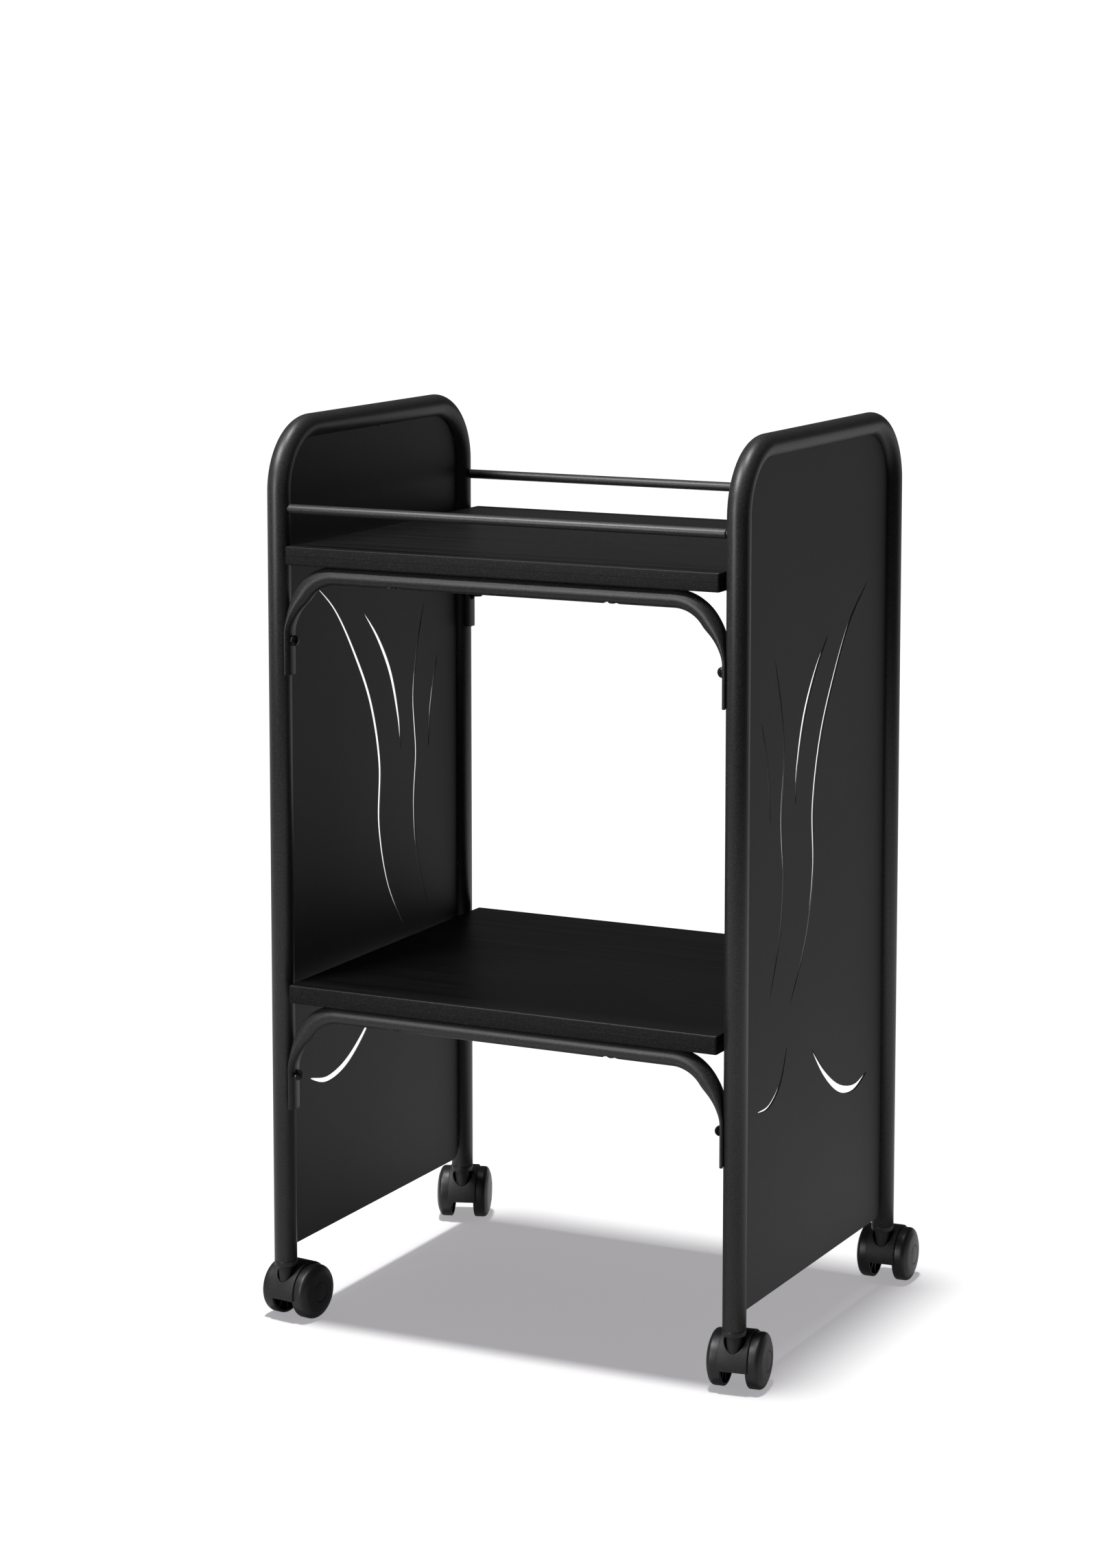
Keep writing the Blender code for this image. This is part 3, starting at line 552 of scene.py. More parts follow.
TACK_LENGTH = 5.2 * MM
TACK_WIDTH = 2.6 * MM
TACK_HEIGHT = 1.5 * MM
TACK_HEIGHTS = (85 * MM, 350 * MM, 550 * MM)
TACK_FROM_BEND = 0.62
TACK_TOP_SHARE = 0.07
TACK_PAST_SEAM = 0.2 * MM
TACK_ABOVE_SHEET = 0.3 * MM
LUMPS_PER_METRE = 420.0


def turned_points(name, places):
    """A mesh of points from (place, turn) pairs, which keeps each point's turn."""
    points = bpy.data.meshes.new(name)
    points.from_pydata([place for place, turn in places], [], [])
    turns = points.attributes.new("turn", "FLOAT_VECTOR", "POINT")
    for datum, (place, turn) in zip(turns.data, places):
        datum.vector = turn
    return points


def copied(tree, points, shape, **scale):
    """Copies of a shape on such points, each at its own turn."""
    turn = node(tree, "GeometryNodeInputNamedAttribute", {"Name": "turn"}, data_type="FLOAT_VECTOR")
    spin = node(tree, "FunctionNodeEulerToRotation", {0: turn.outputs[0]})
    values = {"Points": points, "Instance": shape, "Rotation": spin.outputs[0], **scale}
    return node(tree, "GeometryNodeInstanceOnPoints", values).outputs[0]


TACKS, tack_in, tack_out = geometry_tree(
    "weld_tacks",
    [
        ("Float", "Length", TACK_LENGTH),
        ("Float", "Width", TACK_WIDTH),
        ("Float", "Height", TACK_HEIGHT),
        ("Float", "Lumpiness", 0.35 * MM),
        ("Int", "Seed", 7),
        ("Material", "Paint", None),
    ],
)
bead = node(TACKS, "GeometryNodeMeshIcoSphere", {"Radius": 0.5, "Subdivisions": 4})
bead_sides = {"X": "Height", "Y": "Width", "Z": "Length"}
bead_size = node(TACKS, "ShaderNodeCombineXYZ", {k: tack_in.outputs[v] for k, v in bead_sides.items()})
bead_shape = node(
    TACKS, "GeometryNodeTransform", {"Geometry": bead.outputs[0], "Scale": bead_size.outputs[0]}
)
tack_sizes = {2: 0.8, 3: 1.2, "Seed": tack_in.outputs["Seed"]}
tack_scale = node(TACKS, "FunctionNodeRandomValue", tack_sizes, data_type="FLOAT").outputs[1]
tack_copies = copied(TACKS, tack_in.outputs["Geometry"], bead_shape.outputs[0], Scale=tack_scale)
tack_real = node(TACKS, "GeometryNodeRealizeInstances", {"Geometry": tack_copies})
tack_where = node(TACKS, "GeometryNodeInputPosition").outputs[0]
tack_noise = node(
    TACKS, "ShaderNodeTexNoise", {"Vector": tack_where, "Scale": LUMPS_PER_METRE, "Detail": 2.0}
)
tack_middle = {0: tack_noise.outputs["Color"], 1: (0.5, 0.5, 0.5)}
tack_centre = node(TACKS, "ShaderNodeVectorMath", tack_middle, operation="SUBTRACT")
tack_push = scaled(TACKS, tack_centre.outputs[0], tack_in.outputs["Lumpiness"])
tack_lumps = node(
    TACKS, "GeometryNodeSetPosition", {"Geometry": tack_real.outputs[0], "Offset": tack_push}
)
end_tree(TACKS, tack_out, tack_lumps.outputs[0], tack_in.outputs["Paint"])


def tack_places():
    """Where the tacks lie: (distance from the middle, height, turn of their length from upright)."""
    seam = PANEL_HALF_Y + TACK_PAST_SEAM
    bend = PANEL_BEND_R
    places = [(TACK_TOP_SHARE * PANEL_HALF_Y, PANEL_TOP_Z + TACK_PAST_SEAM, pi / 2)]
    for way in (-1, 1):
        along = TACK_FROM_BEND * pi / 4
        y = seam - bend + bend * cos(along)
        places.append((way * y, PANEL_TOP_Z - bend + bend * sin(along), way * along))
        places += [(way * seam, z, 0.0) for z in TACK_HEIGHTS]
    return places


for side, x in SIDE_X.items():
    inward = -x / abs(x)
    level = x + inward * (PANEL_THICK / 2 + TACK_ABOVE_SHEET)
    places = [((level, MID_Y + y, z), (turn, 0.0, 0.0)) for y, z, turn in tack_places()]
    points = turned_points("tack_places", places)
    tacks = shown(f"{side}_weld_tacks", grown(TACKS, points, Paint=FRAME_PAINT))
    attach(tacks, "root")


# Shelves: 16 mm boards finished black all over, with softened edges and corners. The finish is worn
# to a greyer, grainier tone on the edges, and a fine seam runs round them at half their thickness.

SHELF_CORNER_R = 2.2 * MM
SHELF_EDGE_R = 1.3 * MM
SEAM_DEPTH = 0.25 * MM
SEAM_HALF = 0.18 * MM
ROUND_STEPS = 6
BOARD_GRAIN = 900.0
BOARD_CLOUDS = 5.0
FIGURE_SCALE = (6.0, 160.0, 160.0)


def mesh_of(bm, name):
    """The mesh of finished BMesh work, its faces pointing out."""
    bmesh.ops.recalc_face_normals(bm, faces=bm.faces)
    mesh = bpy.data.meshes.new(name)
    bm.to_mesh(mesh)
    bm.free()
    return mesh


def rounded_rectangle(half_x, half_y, radius, inset):
    """Points of a rectangle with rounded corners, drawn in by an inset."""
    hx, hy, r = half_x - inset, half_y - inset, max(radius - inset, 0.05 * MM)
    points = []
    for quarter, (sx, sy) in enumerate(((1, 1), (-1, 1), (-1, -1), (1, -1))):
        start = quarter * pi / 2
        points += arc((sx * (hx - r), sy * (hy - r)), r, start, start + pi / 2, ROUND_STEPS)
    return points


def loft(rings):
    """A closed skin over a row of rings that have the same number of points."""
    bm = bmesh.new()
    rows = [[bm.verts.new(point) for point in ring] for ring in rings]
    for low, high in zip(rows, rows[1:]):
        for i in range(len(low)):
            j = (i + 1) % len(low)
            bm.faces.new((low[i], low[j], high[j], high[i]))
    bm.faces.new(rows[0][::-1])
    bm.faces.new(rows[-1])
    return mesh_of(bm, "loft")


def board_finish(name, colour, fleck, roughness, flecks, relief, streaks, specular=0.5):
    """Black board finish: powdery grain, and a wood figure drawn out along the board's length."""
    grain_and_clouds = (BOARD_GRAIN, flecks, relief, BOARD_CLOUDS)
    material = coated(name, colour, fleck, roughness, *grain_and_clouds, specular=specular)
    tree = material.node_tree
    shader = tree.nodes["Principled BSDF"]
    where = tree.nodes["Texture Coordinate"].outputs["Object"]
    drawn = node(tree, "ShaderNodeMapping", {"Vector": where, "Scale": FIGURE_SCALE})
    figure = node(
        tree,
        "ShaderNodeTexNoise",
        {"Vector": drawn.outputs[0], "Scale": 1.0, "Detail": 5.0, "Distortion": 0.4},
    )
    streaked = ranged(tree, figure.outputs["Fac"], (0.35, 1 - streaks), (0.65, 1 + streaks))
    colour_now = shader.inputs["Base Color"].links[0].from_socket
    tree.links.new(scaled(tree, colour_now, streaked), shader.inputs["Base Color"])
    roughness_now = shader.inputs["Roughness"].links[0].from_socket
    tree.links.new(worked(tree, "MULTIPLY", roughness_now, streaked), shader.inputs["Roughness"])
    return material


BOARD_FACE = board_finish(
    "black_board_face", (0.0010, 0.0010, 0.0010), (0.006, 0.006, 0.006), 0.40, 0.25, 0.10, 0.10
)
BOARD_EDGE = board_finish(
    "black_board_edge", (0.005, 0.005, 0.005), (0.035, 0.035, 0.035), 0.52, 0.60, 0.30, 0.04, 0.12
)

for level_name in ("upper", "lower"):
    low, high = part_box(f"{level_name}_shelf")
    half = (high - low) / 2
    middle = (high + low) / 2
    curve = arc((SHELF_EDGE_R, half.z - SHELF_EDGE_R), SHELF_EDGE_R, pi / 2, pi, ROUND_STEPS)
    upper_half = [(SEAM_DEPTH, 0.0), (0.0, SEAM_HALF)] + [(inset, z) for inset, z in curve[::-1]]
    profile = [(inset, -z) for inset, z in upper_half[:0:-1]] + upper_half
    rings = [
        [
            (middle.x + x, middle.y + y, middle.z + z)
            for x, y in rounded_rectangle(half.x, half.y, SHELF_CORNER_R, inset)
        ]
        for inset, z in profile
    ]
    board = shown(f"{level_name}_board", loft(rings), BOARD_FACE)
    board.data.materials.append(BOARD_EDGE)
    for polygon in board.data.polygons:
        polygon.material_index = 0 if abs(polygon.normal.z) > 0.75 else 1
    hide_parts(f"{level_name}_shelf")
    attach(board, "root")


# Bracket tubes: a thinner tube bent to a U under each long edge of a shelf. Its ends are pressed to
# a saddle that lies against the post, and its underside has two pressed dents for the shelf screws.

BRACKET_R = 8 * MM
BRACKET_BEND_R = 38 * MM
BRACKET_DROP = 96 * MM
BRACKET_GAP = 0.3 * MM
SADDLE_THICK = 3 * MM
SADDLE_HALF_ANGLE = radians(44)
SADDLE_LENGTH = 36 * MM
SADDLE_BLEND = 36 * MM
SADDLE_TIP = 1.5 * MM
SADDLE_TIP_NARROWS = 0.10
SADDLE_SQUARENESS = 0.42
SADDLE_R = TUBE_R + BRACKET_GAP
SADDLE_OUTER_R = SADDLE_R + SADDLE_THICK
DENT_X = 101.7 * MM
DENT_FLAT = 3.9 * MM
DENT_SLOPE = 4.6 * MM
DENT_DEPTH = 2 * MM
DENT_STEPS = 8
BRACKET_SIDES = 36
BLEND_STEPS = 12
TIP_STEPS = 6


def signed_power(value, power):
    """A power of the value's size, with the value's sign."""
    return abs(value) ** power * (1 if value >= 0 else -1)


def saddle_ring(x_post, y, z, squareness, width):
    """Pressed end of a left leg: a band with round edges that lies against the post."""
    ring = []
    for i in range(BRACKET_SIDES):
        a = -pi / 2 + 2 * pi * (i + 0.5) / BRACKET_SIDES
        out = signed_power(cos(a), squareness)
        turn = SADDLE_HALF_ANGLE * width * signed_power(sin(a), squareness)
        r = SADDLE_R + SADDLE_THICK / 2 * (1 + out)
        ring.append(Vector((x_post + r * cos(turn), y + r * sin(turn), z)))
    return ring


def round_ring(centre, away, across):
    """Full tube section, in the same point order as the saddle's."""
    angles = [-pi / 2 + 2 * pi * (i + 0.5) / BRACKET_SIDES for i in range(BRACKET_SIDES)]
    return [centre + BRACKET_R * (cos(a) * away + sin(a) * across) for a in angles]


def dent_rings(y, tube_z):
    """Sections across a dent, which rises smoothly from the tube's underside and is flat inside."""
    slope = [
        (DENT_FLAT + DENT_SLOPE * i / DENT_STEPS, 0.5 + 0.5 * cos(pi * i / DENT_STEPS))
        for i in range(DENT_STEPS + 1)
    ]
    rings = []
    for offset, share in [(-x, depth) for x, depth in slope[::-1]] + slope:
        centre = Vector((-DENT_X + offset, y, tube_z))
        ring = round_ring(centre, Vector((0, 0, -1)), Vector((0, 1, 0)))
        lowest = tube_z - BRACKET_R + DENT_DEPTH * share
        for point in ring:
            point.z = max(point.z, lowest)
        rings.append(ring)
    return rings


def leg_ring(y, bend_z, along):
    """Full tube section of a left leg, so far along it from where its bend begins, or below that."""
    turn = max(along, 0) / BRACKET_BEND_R
    out = Vector((-cos(turn), 0, sin(turn)))
    middle_x = SIDE_X["left"] + SADDLE_R + BRACKET_R + BRACKET_BEND_R
    middle = Vector((middle_x, y, bend_z + min(along, 0)))
    return round_ring(middle + BRACKET_BEND_R * out, -out, Vector((0, 1, 0)))


def bracket_rings(y, under):
    """Sections of a bracket from its left leg's end, under the shelf, to its right leg's end."""
    tube_z = under - BRACKET_GAP - BRACKET_R
    bend_z = tube_z - BRACKET_BEND_R
    end_z = under - BRACKET_DROP
    flat = end_z + SADDLE_LENGTH - bend_z
    rounded = flat + SADDLE_BLEND
    bend = pi / 2 * BRACKET_BEND_R
    x = SIDE_X["left"]
    left = []
    for i in range(TIP_STEPS + 1):
        rise = i / TIP_STEPS
        width = 1 - SADDLE_TIP_NARROWS * (1 - (1 - (1 - rise) ** 2) ** 0.5)
        left.append(saddle_ring(x, y, end_z + SADDLE_TIP * rise, SADDLE_SQUARENESS, width))
    left.append(saddle_ring(x, y, bend_z + flat, SADDLE_SQUARENESS, 1.0))
    for i in range(1, BLEND_STEPS + 1):
        share = i / BLEND_STEPS
        ease = share * share * (3 - 2 * share)
        leg = leg_ring(y, bend_z, flat + SADDLE_BLEND * share)
        middle_z = sum(point.z for point in leg) / len(leg)
        squareness = SADDLE_SQUARENESS + (1 - SADDLE_SQUARENESS) * ease
        saddle = saddle_ring(x, y, middle_z, squareness, 1.0)
        left.append([a.lerp(b, ease) for a, b in zip(saddle, leg)])
    for i in range(1, BEND_STEPS + 1):
        left.append(leg_ring(y, bend_z, rounded + (bend - rounded) * i / BEND_STEPS))
    left += dent_rings(y, tube_z)
    mirror = [[Vector((-p.x, p.y, p.z)) for p in ring] for ring in left[::-1]]
    return left + mirror


for level_name in ("upper", "lower"):
    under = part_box(f"{level_name}_shelf")[0].z
    for row, y in POST_Y.items():
        bracket = shown(f"{row}_{level_name}_bracket_tube", loft(bracket_rings(y, under)), FRAME_PAINT)
        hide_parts(f"{row}_{level_name}_bracket")
        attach(bracket, "root")


# Screws: blackened pan-head screws with a cross recess. Eight go through the saddles into the posts,
# and eight go up through the dents into the boards.

RECESS_ARM = 0.5
RECESS_SLOT = 0.17
SCREW_STEPS = 28
LEG_HEAD_R = 4.6 * MM
LEG_HEAD_H = 3.2 * MM
LEG_SCREW_RISE = 29.5 * MM
LEG_SHANK = 9.5 * MM
SHELF_HEAD_R = 3.6 * MM
SHELF_HEAD_H = 1.6 * MM
SHELF_SHANK = 19 * MM
SCREW_R = 2 * MM
FIRST_TILT = 0.4


def filleted(corners, steps=ROUND_STEPS, closed=False):
    """A line through (x, y, fillet radius) corners, each rounded by an arc tangent to both sides."""
    count = len(corners)
    line = []
    for i, (x, y, radius) in enumerate(corners):
        here = Vector((x, y))
        if radius == 0 or (not closed and i in (0, count - 1)):
            line.append((x, y))
            continue
        back = (Vector(corners[i - 1][:2]) - here).normalized()
        ahead = (Vector(corners[(i + 1) % count][:2]) - here).normalized()
        half = back.angle(ahead) / 2
        centre = here + (back + ahead).normalized() * radius / sin(half)
        start = (here + back * radius / tan(half)) - centre
        swing = start.angle_signed((here + ahead * radius / tan(half)) - centre)
        for step in range(steps + 1):
            a = -swing * step / steps
            swung = (start.x * cos(a) - start.y * sin(a), start.x * sin(a) + start.y * cos(a))
            line.append((centre.x + swung[0], centre.y + swung[1]))
    return line


def turned(profile, steps, closed=False):
    """A profile of (radius, height) points turned about Z. Open profiles end on the axis."""
    bm = bmesh.new()
    rows = []
    for r, z in profile:
        if r < 1e-7:
            rows.append([bm.verts.new((0, 0, z))] * steps)
        else:
            angles = [2 * pi * i / steps for i in range(steps)]
            rows.append([bm.verts.new((r * cos(a), r * sin(a), z)) for a in angles])
    pairs = list(zip(rows, rows[1:])) + ([(rows[-1], rows[0])] if closed else [])
    for low, high in pairs:
        for i in range(steps):
            j = (i + 1) % steps
            unique = list(dict.fromkeys((low[i], low[j], high[j], high[i])))
            if len(unique) > 2:
                bm.faces.new(unique)
    return mesh_of(bm, "turned")


def block(low, high):
    """A box between two corners."""
    bm = bmesh.new()
    bmesh.ops.create_cube(bm, size=1.0)
    low, high = Vector(low), Vector(high)
    for vert in bm.verts:
        vert.co = (low + high) / 2 + Vector(c * s for c, s in zip(vert.co, high - low))
    return mesh_of(bm, "block")


def combined(base, *steps):
    """The base mesh after Boolean steps, each an operation and a mesh."""
    obj = linked("combined", base)
    others = []
    for operation, mesh in steps:
        other = linked("operand", mesh)
        others.append(other)
        modifier = obj.modifiers.new("Boolean", "BOOLEAN")
        modifier.operation = operation
        modifier.solver = "EXACT"
        modifier.object = other
    mesh = baked(obj)
    for other in others:
        bpy.data.objects.remove(other, do_unlink=True)
    return mesh


def pan_head(head_r, head_h, shank):
    """A pan-head screw along Z with its seat at Z = 0: a domed head with a cross cut into it."""
    profile = filleted(
        [
            (0, head_h, 0),
            (0.55 * head_r, 0.97 * head_h, 0.8 * head_r),
            (head_r, 0.55 * head_h, 0.35 * head_h),
            (head_r, 0, 0.1 * head_h),
            (SCREW_R, 0, 0),
            (SCREW_R, SCREW_R - shank, 0),
            (0, -shank, 0),
        ],
        4,
    )
    arm, slot_half, deep = RECESS_ARM * head_r, RECESS_SLOT * head_r / 2, 0.45 * head_h
    cross = [
        ("DIFFERENCE", block((-arm, -slot_half, deep), (arm, slot_half, 2 * head_h))),
        ("DIFFERENCE", block((-slot_half, -arm, deep), (slot_half, arm, 2 * head_h))),
    ]
    return combined(turned(profile, SCREW_STEPS), *cross)


SCREW_BLACK = coated(
    "blackened_steel", (0.030, 0.030, 0.032), (0.07, 0.07, 0.07), 0.34, 2600.0, 0.35, 0.10, 300.0, 0.85
)

SCREWS, screw_in, screw_out = geometry_tree(
    "set_of_screws",
    [("Object", "Screw", None), ("Material", "Paint", None)],
)
one_screw = node(SCREWS, "GeometryNodeObjectInfo", {"Object": screw_in.outputs["Screw"]})
screw_copies = copied(SCREWS, screw_in.outputs["Geometry"], one_screw.outputs["Geometry"])
end_tree(SCREWS, screw_out, screw_copies, screw_in.outputs["Paint"])


def screw_set(name, screw, places):
    """One mesh of like screws at (place, turn) pairs."""
    scratch = linked("one_screw", screw)
    points = turned_points("screw_places", places)
    made = shown(name, grown(SCREWS, points, Screw=scratch, Paint=SCREW_BLACK))
    bpy.data.objects.remove(scratch, do_unlink=True)
    return made


leg_places, shelf_places, leg_nodes, shelf_nodes = [], [], [], []
for level_name in ("upper", "lower"):
    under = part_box(f"{level_name}_shelf")[0].z
    seat_z = under - 2 * BRACKET_GAP - 2 * BRACKET_R + DENT_DEPTH
    for row, y in POST_Y.items():
        for side, x in SIDE_X.items():
            inward = -x / abs(x)
            tilt = FIRST_TILT + len(leg_places)
            leg_z = under - BRACKET_DROP + LEG_SCREW_RISE
            leg_seat = x + inward * (SADDLE_OUTER_R + BRACKET_GAP)
            leg_places.append(((leg_seat, y, leg_z), (tilt, inward * pi / 2, 0.0)))
            leg_nodes.append(f"{row}_{side}_{level_name}_leg_screw")
            shelf_x = DENT_X * x / abs(x)
            shelf_places.append(((shelf_x, y, seat_z), (pi, 0.0, tilt)))
            shelf_nodes.append(f"{row}_{side}_{level_name}_shelf_screw")

leg_screws = screw_set("leg_screw_set", pan_head(LEG_HEAD_R, LEG_HEAD_H, LEG_SHANK), leg_places)
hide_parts(*leg_nodes)
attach(leg_screws, "root")
shelf_screws = screw_set(
    "shelf_screw_set", pan_head(SHELF_HEAD_R, SHELF_HEAD_H, SHELF_SHANK), shelf_places
)
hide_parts(*shelf_nodes)
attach(shelf_screws, "root")


# Guard rails: solid round bar over the front and the rear edge of the upper shelf, with eased ends
# and a spigot at each end that sits in the post.

RAIL_R = 4.2 * MM
RAIL_END_R = 1.2 * MM
RAIL_SPIGOT_R = 3 * MM
RAIL_STEPS = 48
SPIGOT_EASE = 0.2 * MM

for row in POST_Y:
    low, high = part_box(f"{row}_guard_rail")
    end = SIDE_X["right"] - TUBE_R - BRACKET_GAP
    right_end = [(0, high.x, 0), (RAIL_SPIGOT_R, high.x, SPIGOT_EASE), (RAIL_SPIGOT_R, end, 0)]
    barrel = [(RAIL_R, end, RAIL_END_R), (RAIL_R, -end, RAIL_END_R)]
    left_end = [(RAIL_SPIGOT_R, -end, 0), (RAIL_SPIGOT_R, low.x, SPIGOT_EASE), (0, low.x, 0)]
    bar = turned(filleted(right_end + barrel + left_end), RAIL_STEPS)
    height = (low.z + high.z) / 2
    bar.transform(Matrix.Translation((0, POST_Y[row], height)) @ Matrix.Rotation(pi / 2, 4, "Y"))
    rail = shown(f"{row}_rail_bar", bar, FRAME_PAINT)
    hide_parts(f"{row}_guard_rail")
    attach(rail, "root")


# Casters: a moulded collar plugs each post's foot and holds a plated stem. A grained nylon hood
# swivels on the stem, and two hollow wheels run on an axle through it, each under a pressed-in cap.

WHEEL_R = 24 * MM
WHEEL_WIDTH = 14.6 * MM
WHEEL_WALL = 2.4 * MM
WHEEL_HUB_R = 5.5 * MM
AXLE_R = 3 * MM
RUN = 0.05 * MM
WEB_HALF = TUBE_R + 0.5 * MM
WHEEL_FACE = WEB_HALF + 0.3 * MM
HOOD_CLEAR = 0.5 * MM
HOOD_WALL = 1.1 * MM
HOOD_OVERLAP = 2.7 * MM
HOOD_CUT_BELOW_AXLE = 4.5 * MM
NECK_TOP_R = 6.6 * MM
NECK_FOOT_R = 5.6 * MM
RECESS_DEPTH = 16.5 * MM
STEM_R = 3.5 * MM
STEM_BITE = 14 * MM
CAP_R = 8.6 * MM
CAP_SET = 0.3 * MM
CASTER_STEPS = 96
PLUG_STEPS = 64
BORE_STEPS = 32
RIB_COUNT = 10
RIB_THICK = 1.0 * MM
RIB_DEEP = 5.5 * MM
RIB_SET_IN = 1.2 * MM
JOINTS = {joint["name"]: joint for joint in frame["joints"]}

# Pebbled moulding: low round bumps, crowded together, with fine dark valleys between them.
PEBBLES, pebble_in, pebble_out = shader_group(
    "pebbled_grain",
    [
        ("Vector", "Vector", None),
        ("Float", "Grain", 900.0),
        ("Float", "Relief", 0.5),
    ],
    [("Vector", "Normal"), ("Float", "Valleys")],
)
pebble_cells = {"Vector": pebble_in.outputs["Vector"], "Scale": pebble_in.outputs["Grain"]}
cells = node(PEBBLES, "ShaderNodeTexVoronoi", pebble_cells, feature="SMOOTH_F1")
valleys = ranged(PEBBLES, cells.outputs["Distance"], (0.25, 0.0), (0.75, 1.0))
tops = worked(PEBBLES, "SUBTRACT", 1.0, valleys)
pebble_relief = {"Height": tops, "Strength": pebble_in.outputs["Relief"]}
pebble_bump = node(PEBBLES, "ShaderNodeBump", {**pebble_relief, "Distance": GRAIN_HEIGHT})
PEBBLES.links.new(pebble_bump.outputs[0], pebble_out.inputs["Normal"])
PEBBLES.links.new(valleys, pebble_out.inputs["Valleys"])

CASTER_BLACK = coated(
    "caster_nylon", (0.009, 0.009, 0.010), (0.030, 0.030, 0.031), 0.40, 1200.0, 0.25, 0.06, 60.0, 0.0, 0.35
)
HOOD_BLACK = coated(
    "hood_grained_nylon", (0.009, 0.009, 0.010), (0.05, 0.05, 0.05), 0.55, 1500.0, 0.35, 0.0, 60.0, 0.0, 0.30
)
hood_tree = HOOD_BLACK.node_tree
hood_where = hood_tree.nodes["Texture Coordinate"].outputs["Object"]
pebbled = node(hood_tree, "ShaderNodeGroup", node_tree=PEBBLES)
hood_tree.links.new(hood_where, pebbled.inputs["Vector"])
hood_shader = hood_tree.nodes["Principled BSDF"]
hood_tree.links.new(pebbled.outputs["Normal"], hood_shader.inputs["Normal"])
PLATED = coated(
    "zinc_plated_steel", (0.45, 0.45, 0.46), (0.60, 0.60, 0.62), 0.30, 2200.0, 0.3, 0.08, 200.0, 1.0
)

RIBBED, rib_in, rib_out = geometry_tree(
    "wheel_ribs",
    [
        ("Int", "Ribs", RIB_COUNT),
        ("Float", "Hub radius", WHEEL_HUB_R),
        ("Float", "Rim radius", WHEEL_R - WHEEL_WALL),
        ("Float", "Thickness", RIB_THICK),
        ("Float", "Depth", RIB_DEEP),
        ("Float", "Start", WHEEL_FACE + RIB_SET_IN),
        ("Material", "Paint", None),
    ],
)
rim_and_hub = (rib_in.outputs["Rim radius"], rib_in.outputs["Hub radius"])
reach = worked(RIBBED, "SUBTRACT", *rim_and_hub)
rib_size = node(
    RIBBED,
    "ShaderNodeCombineXYZ",
    {"X": reach, "Y": rib_in.outputs["Thickness"], "Z": rib_in.outputs["Depth"]},
)
rib = node(RIBBED, "GeometryNodeMeshCube", {"Size": rib_size.outputs[0]})
half_way = worked(RIBBED, "MULTIPLY", worked(RIBBED, "ADD", *rim_and_hub), 0.5)
rise = worked(RIBBED, "MULTIPLY_ADD", rib_in.outputs["Depth"], 0.5, rib_in.outputs["Start"])
rib_place = node(RIBBED, "ShaderNodeCombineXYZ", {"X": half_way, "Z": rise})
rib_out_there = node(
    RIBBED, "GeometryNodeTransform", {"Geometry": rib.outputs[0], "Translation": rib_place.outputs[0]}
)
spokes = node(RIBBED, "GeometryNodeMeshLine", {"Count": rib_in.outputs["Ribs"], "Offset": (0.0, 0.0, 0.0)})
spoke_index = node(RIBBED, "GeometryNodeInputIndex").outputs[0]
spoke_step = worked(RIBBED, "DIVIDE", 2 * pi, rib_in.outputs["Ribs"])
spoke_angle = worked(RIBBED, "MULTIPLY", spoke_index, spoke_step)
spoke_euler = node(RIBBED, "ShaderNodeCombineXYZ", {"Z": spoke_angle})
spoke_turn = node(RIBBED, "FunctionNodeEulerToRotation", {0: spoke_euler.outputs[0]})
rib_copies = node(
    RIBBED,
    "GeometryNodeInstanceOnPoints",
    {"Points": spokes.outputs[0], "Instance": rib_out_there.outputs[0], "Rotation": spoke_turn.outputs[0]},
)
wheel_whole = node(RIBBED, "GeometryNodeJoinGeometry", {0: rib_copies.outputs[0]})
RIBBED.links.new(rib_in.outputs["Geometry"], wheel_whole.inputs[0])
end_tree(RIBBED, rib_out, wheel_whole.outputs[0], rib_in.outputs["Paint"])


def wheel_shell():
    """A hollow wheel along Z: flat tread, rounded shoulder, shallow dome, and a pocket for the cap."""
    rim = WHEEL_R - WHEEL_WALL
    face = WHEEL_FACE + WHEEL_WIDTH
    pocket = face - 2.2 * MM
    bore = AXLE_R + RUN
    corners = [
        (rim, WHEEL_FACE, 0.3 * MM),
        (WHEEL_R, WHEEL_FACE, 1.1 * MM),
        (WHEEL_R, face - 4.12 * MM, 4.0 * MM),
        (0.72 * WHEEL_R, face - 1.2 * MM, 12 * MM),
        (CAP_R + 0.3 * MM, face - 0.2 * MM, 0.2 * MM),
        (CAP_R + 0.3 * MM, pocket, 0),
        (bore, pocket, 0),
        (bore, WHEEL_FACE, 0.2 * MM),
        (WHEEL_HUB_R, WHEEL_FACE, 0.4 * MM),
        (WHEEL_HUB_R, face - 6.0 * MM, 0.8 * MM),
        (rim, face - 6.8 * MM, 1.5 * MM),
    ]
    return turned(filleted(corners, closed=True), CASTER_STEPS, closed=True)


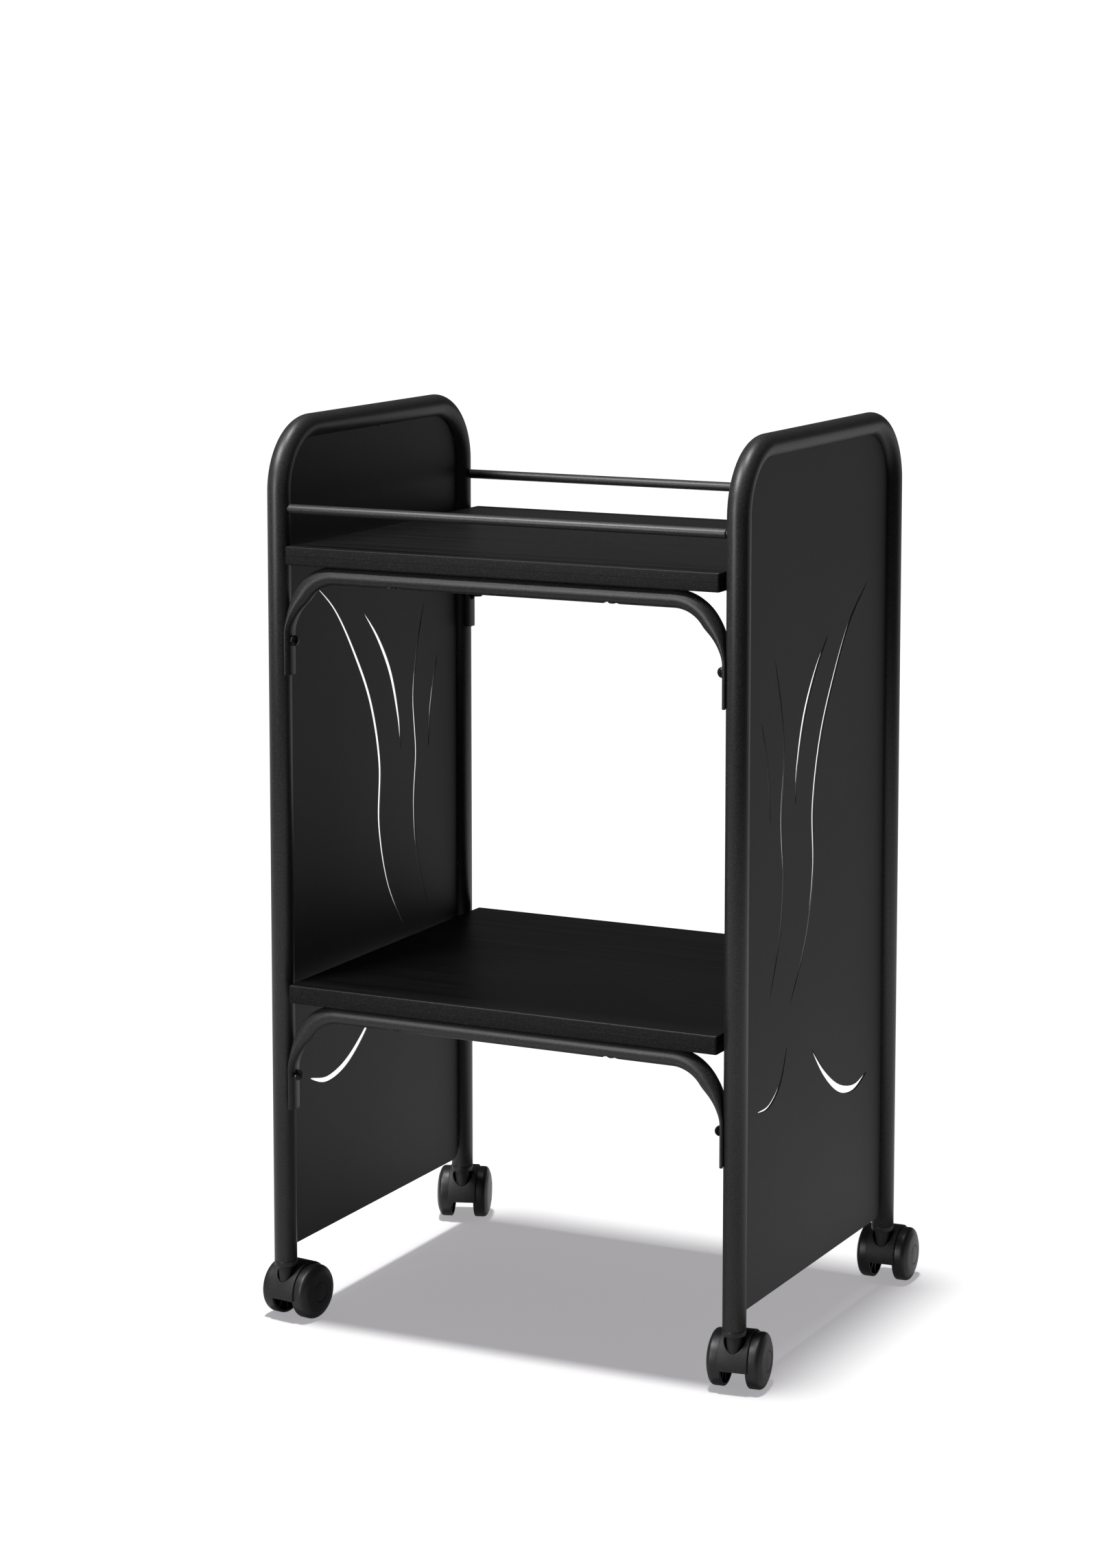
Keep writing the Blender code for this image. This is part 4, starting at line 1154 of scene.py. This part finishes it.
def hood_shell(trail, axle_z, neck_z):
    """Hood about the swivel axis: a drum over the wheels, cut flat below and hollowed round its neck."""
    lip_x = WEB_HALF + HOOD_OVERLAP
    lip_r = WHEEL_R + HOOD_CLEAR
    hood_r = lip_r + HOOD_WALL
    half = [
        (AXLE_R + RUN, WEB_HALF, 0.2 * MM),
        (lip_r, WEB_HALF, 0.8 * MM),
        (lip_r, lip_x, 0.2 * MM),
        (hood_r, lip_x, 0.8 * MM),
    ]
    corners = half + [(r, -x, f) for r, x, f in half[::-1]]
    drum = turned(filleted(corners, 5, closed=True), CASTER_STEPS, closed=True)
    drum.transform(Matrix.Translation((0, trail, axle_z)) @ Matrix.Rotation(pi / 2, 4, "Y"))
    reach = hood_r + 2 * MM
    cut_z = axle_z - HOOD_CUT_BELOW_AXLE
    floor_cut = block((-lip_x - MM, trail - reach, -reach), (lip_x + MM, trail + reach, cut_z))
    top = axle_z + reach
    recess_r = TUBE_R + 1.0 * MM
    neck_foot = neck_z - RECESS_DEPTH
    bowl = [(recess_r, top, 0), (recess_r, neck_z - 0.5 * MM, 1.5 * MM), (NECK_FOOT_R, neck_foot, 0)]
    recess = turned(filleted([(0, top, 0), *bowl, (0, neck_foot, 0)]), PLUG_STEPS)
    low = cut_z + 2 * MM
    stalk = [(NECK_TOP_R, neck_z, 0.5 * MM), (NECK_FOOT_R, neck_foot, 0), (NECK_FOOT_R, low, 0)]
    neck = turned(filleted([(0, neck_z, 0), *stalk, (0, low, 0)]), PLUG_STEPS)
    bore_r, bore_end = STEM_R + RUN, neck_z - STEM_BITE - 0.3 * MM
    bore = turned([(0, top), (bore_r, top), (bore_r, bore_end), (0, bore_end)], BORE_STEPS)
    return combined(
        drum,
        ("DIFFERENCE", floor_cut),
        ("DIFFERENCE", recess),
        ("UNION", neck),
        ("DIFFERENCE", bore),
    )


def hub_cap():
    """A pressed-in cap with an eased rim, almost flush with the wheel's face."""
    face = WHEEL_FACE + WHEEL_WIDTH
    low = face - 1.9 * MM
    profile = filleted(
        [(0, face, 0), (CAP_R, face - CAP_SET, 0.35 * MM), (CAP_R, low, 0.2 * MM), (0, low, 0)], 4
    )
    return turned(profile, PLUG_STEPS)


def collar(low_z, shoulder_z, top_z):
    """The moulded plug: a collar that the post stands on, and a sleeve up inside the post."""
    sleeve_r = TUBE_R - TUBE_WALL - 0.6 * MM
    hole = STEM_R + RUN
    corners = [
        (hole, top_z, 0.3 * MM),
        (sleeve_r, top_z, 1.2 * MM),
        (sleeve_r, shoulder_z, 0),
        (TUBE_R, shoulder_z, 0.3 * MM),
        (TUBE_R, low_z, 0.5 * MM),
        (hole, low_z, 0.3 * MM),
    ]
    return turned(filleted(corners, 4, closed=True), PLUG_STEPS, closed=True)


for corner in ("front_left", "front_right", "rear_right", "rear_left"):
    stem_axis = JOINTS[f"{corner}_swivel_turn"]
    axle = JOINTS[f"{corner}_right_wheel_spin"]
    post = Vector((*stem_axis["pos_m"][:2], 0.0))
    along = Vector(axle["axis"])
    across = Vector((-along.y, along.x, 0.0))
    swivel = Matrix.Translation(post) @ Matrix((along, across, (0, 0, 1))).transposed().to_4x4()
    axle_place = Vector(axle["pos_m"])
    trail = (axle_place - post).dot(across)
    axle_z = axle_place.z
    neck_z = stem_axis["pos_m"][2]

    low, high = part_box(f"{corner}_caster_socket")
    plug = collar(low.z, TUBE_FOOT_Z - 0.3 * MM, high.z)
    plug.transform(Matrix.Translation(post))
    socket = shown(f"{corner}_post_plug", plug, CASTER_BLACK)
    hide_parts(f"{corner}_caster_socket")
    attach(socket, "root")

    hood_mesh = hood_shell(trail, axle_z, neck_z)
    hood_mesh.transform(swivel)
    hood = shown(f"{corner}_hood", hood_mesh, HOOD_BLACK)
    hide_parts(f"{corner}_caster_housing")
    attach(hood, f"{corner}_swivel")

    for hand, way in (("left", -1), ("right", 1)):
        lay = swivel @ Matrix.Translation((0, trail, axle_z)) @ Matrix.Rotation(way * pi / 2, 4, "Y")
        rolling = grown(RIBBED, wheel_shell(), Paint=CASTER_BLACK)
        rolling.transform(lay)
        wheel = shown(f"{corner}_{hand}_rolling_wheel", rolling, CASTER_BLACK)
        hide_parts(f"{corner}_{hand}_wheel")
        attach(wheel, f"{corner}_{hand}_wheel_body")
        cap_mesh = hub_cap()
        cap_mesh.transform(lay)
        cap = shown(f"{corner}_{hand}_pressed_cap", cap_mesh, CASTER_BLACK)
        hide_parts(f"{corner}_{hand}_hub_cap")
        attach(cap, f"{corner}_{hand}_wheel_body")

    for carried in ("stem", "axle"):
        steel = frame["nodes"][f"{corner}_caster_{carried}"]
        for slot in steel.material_slots:
            slot.material = PLATED
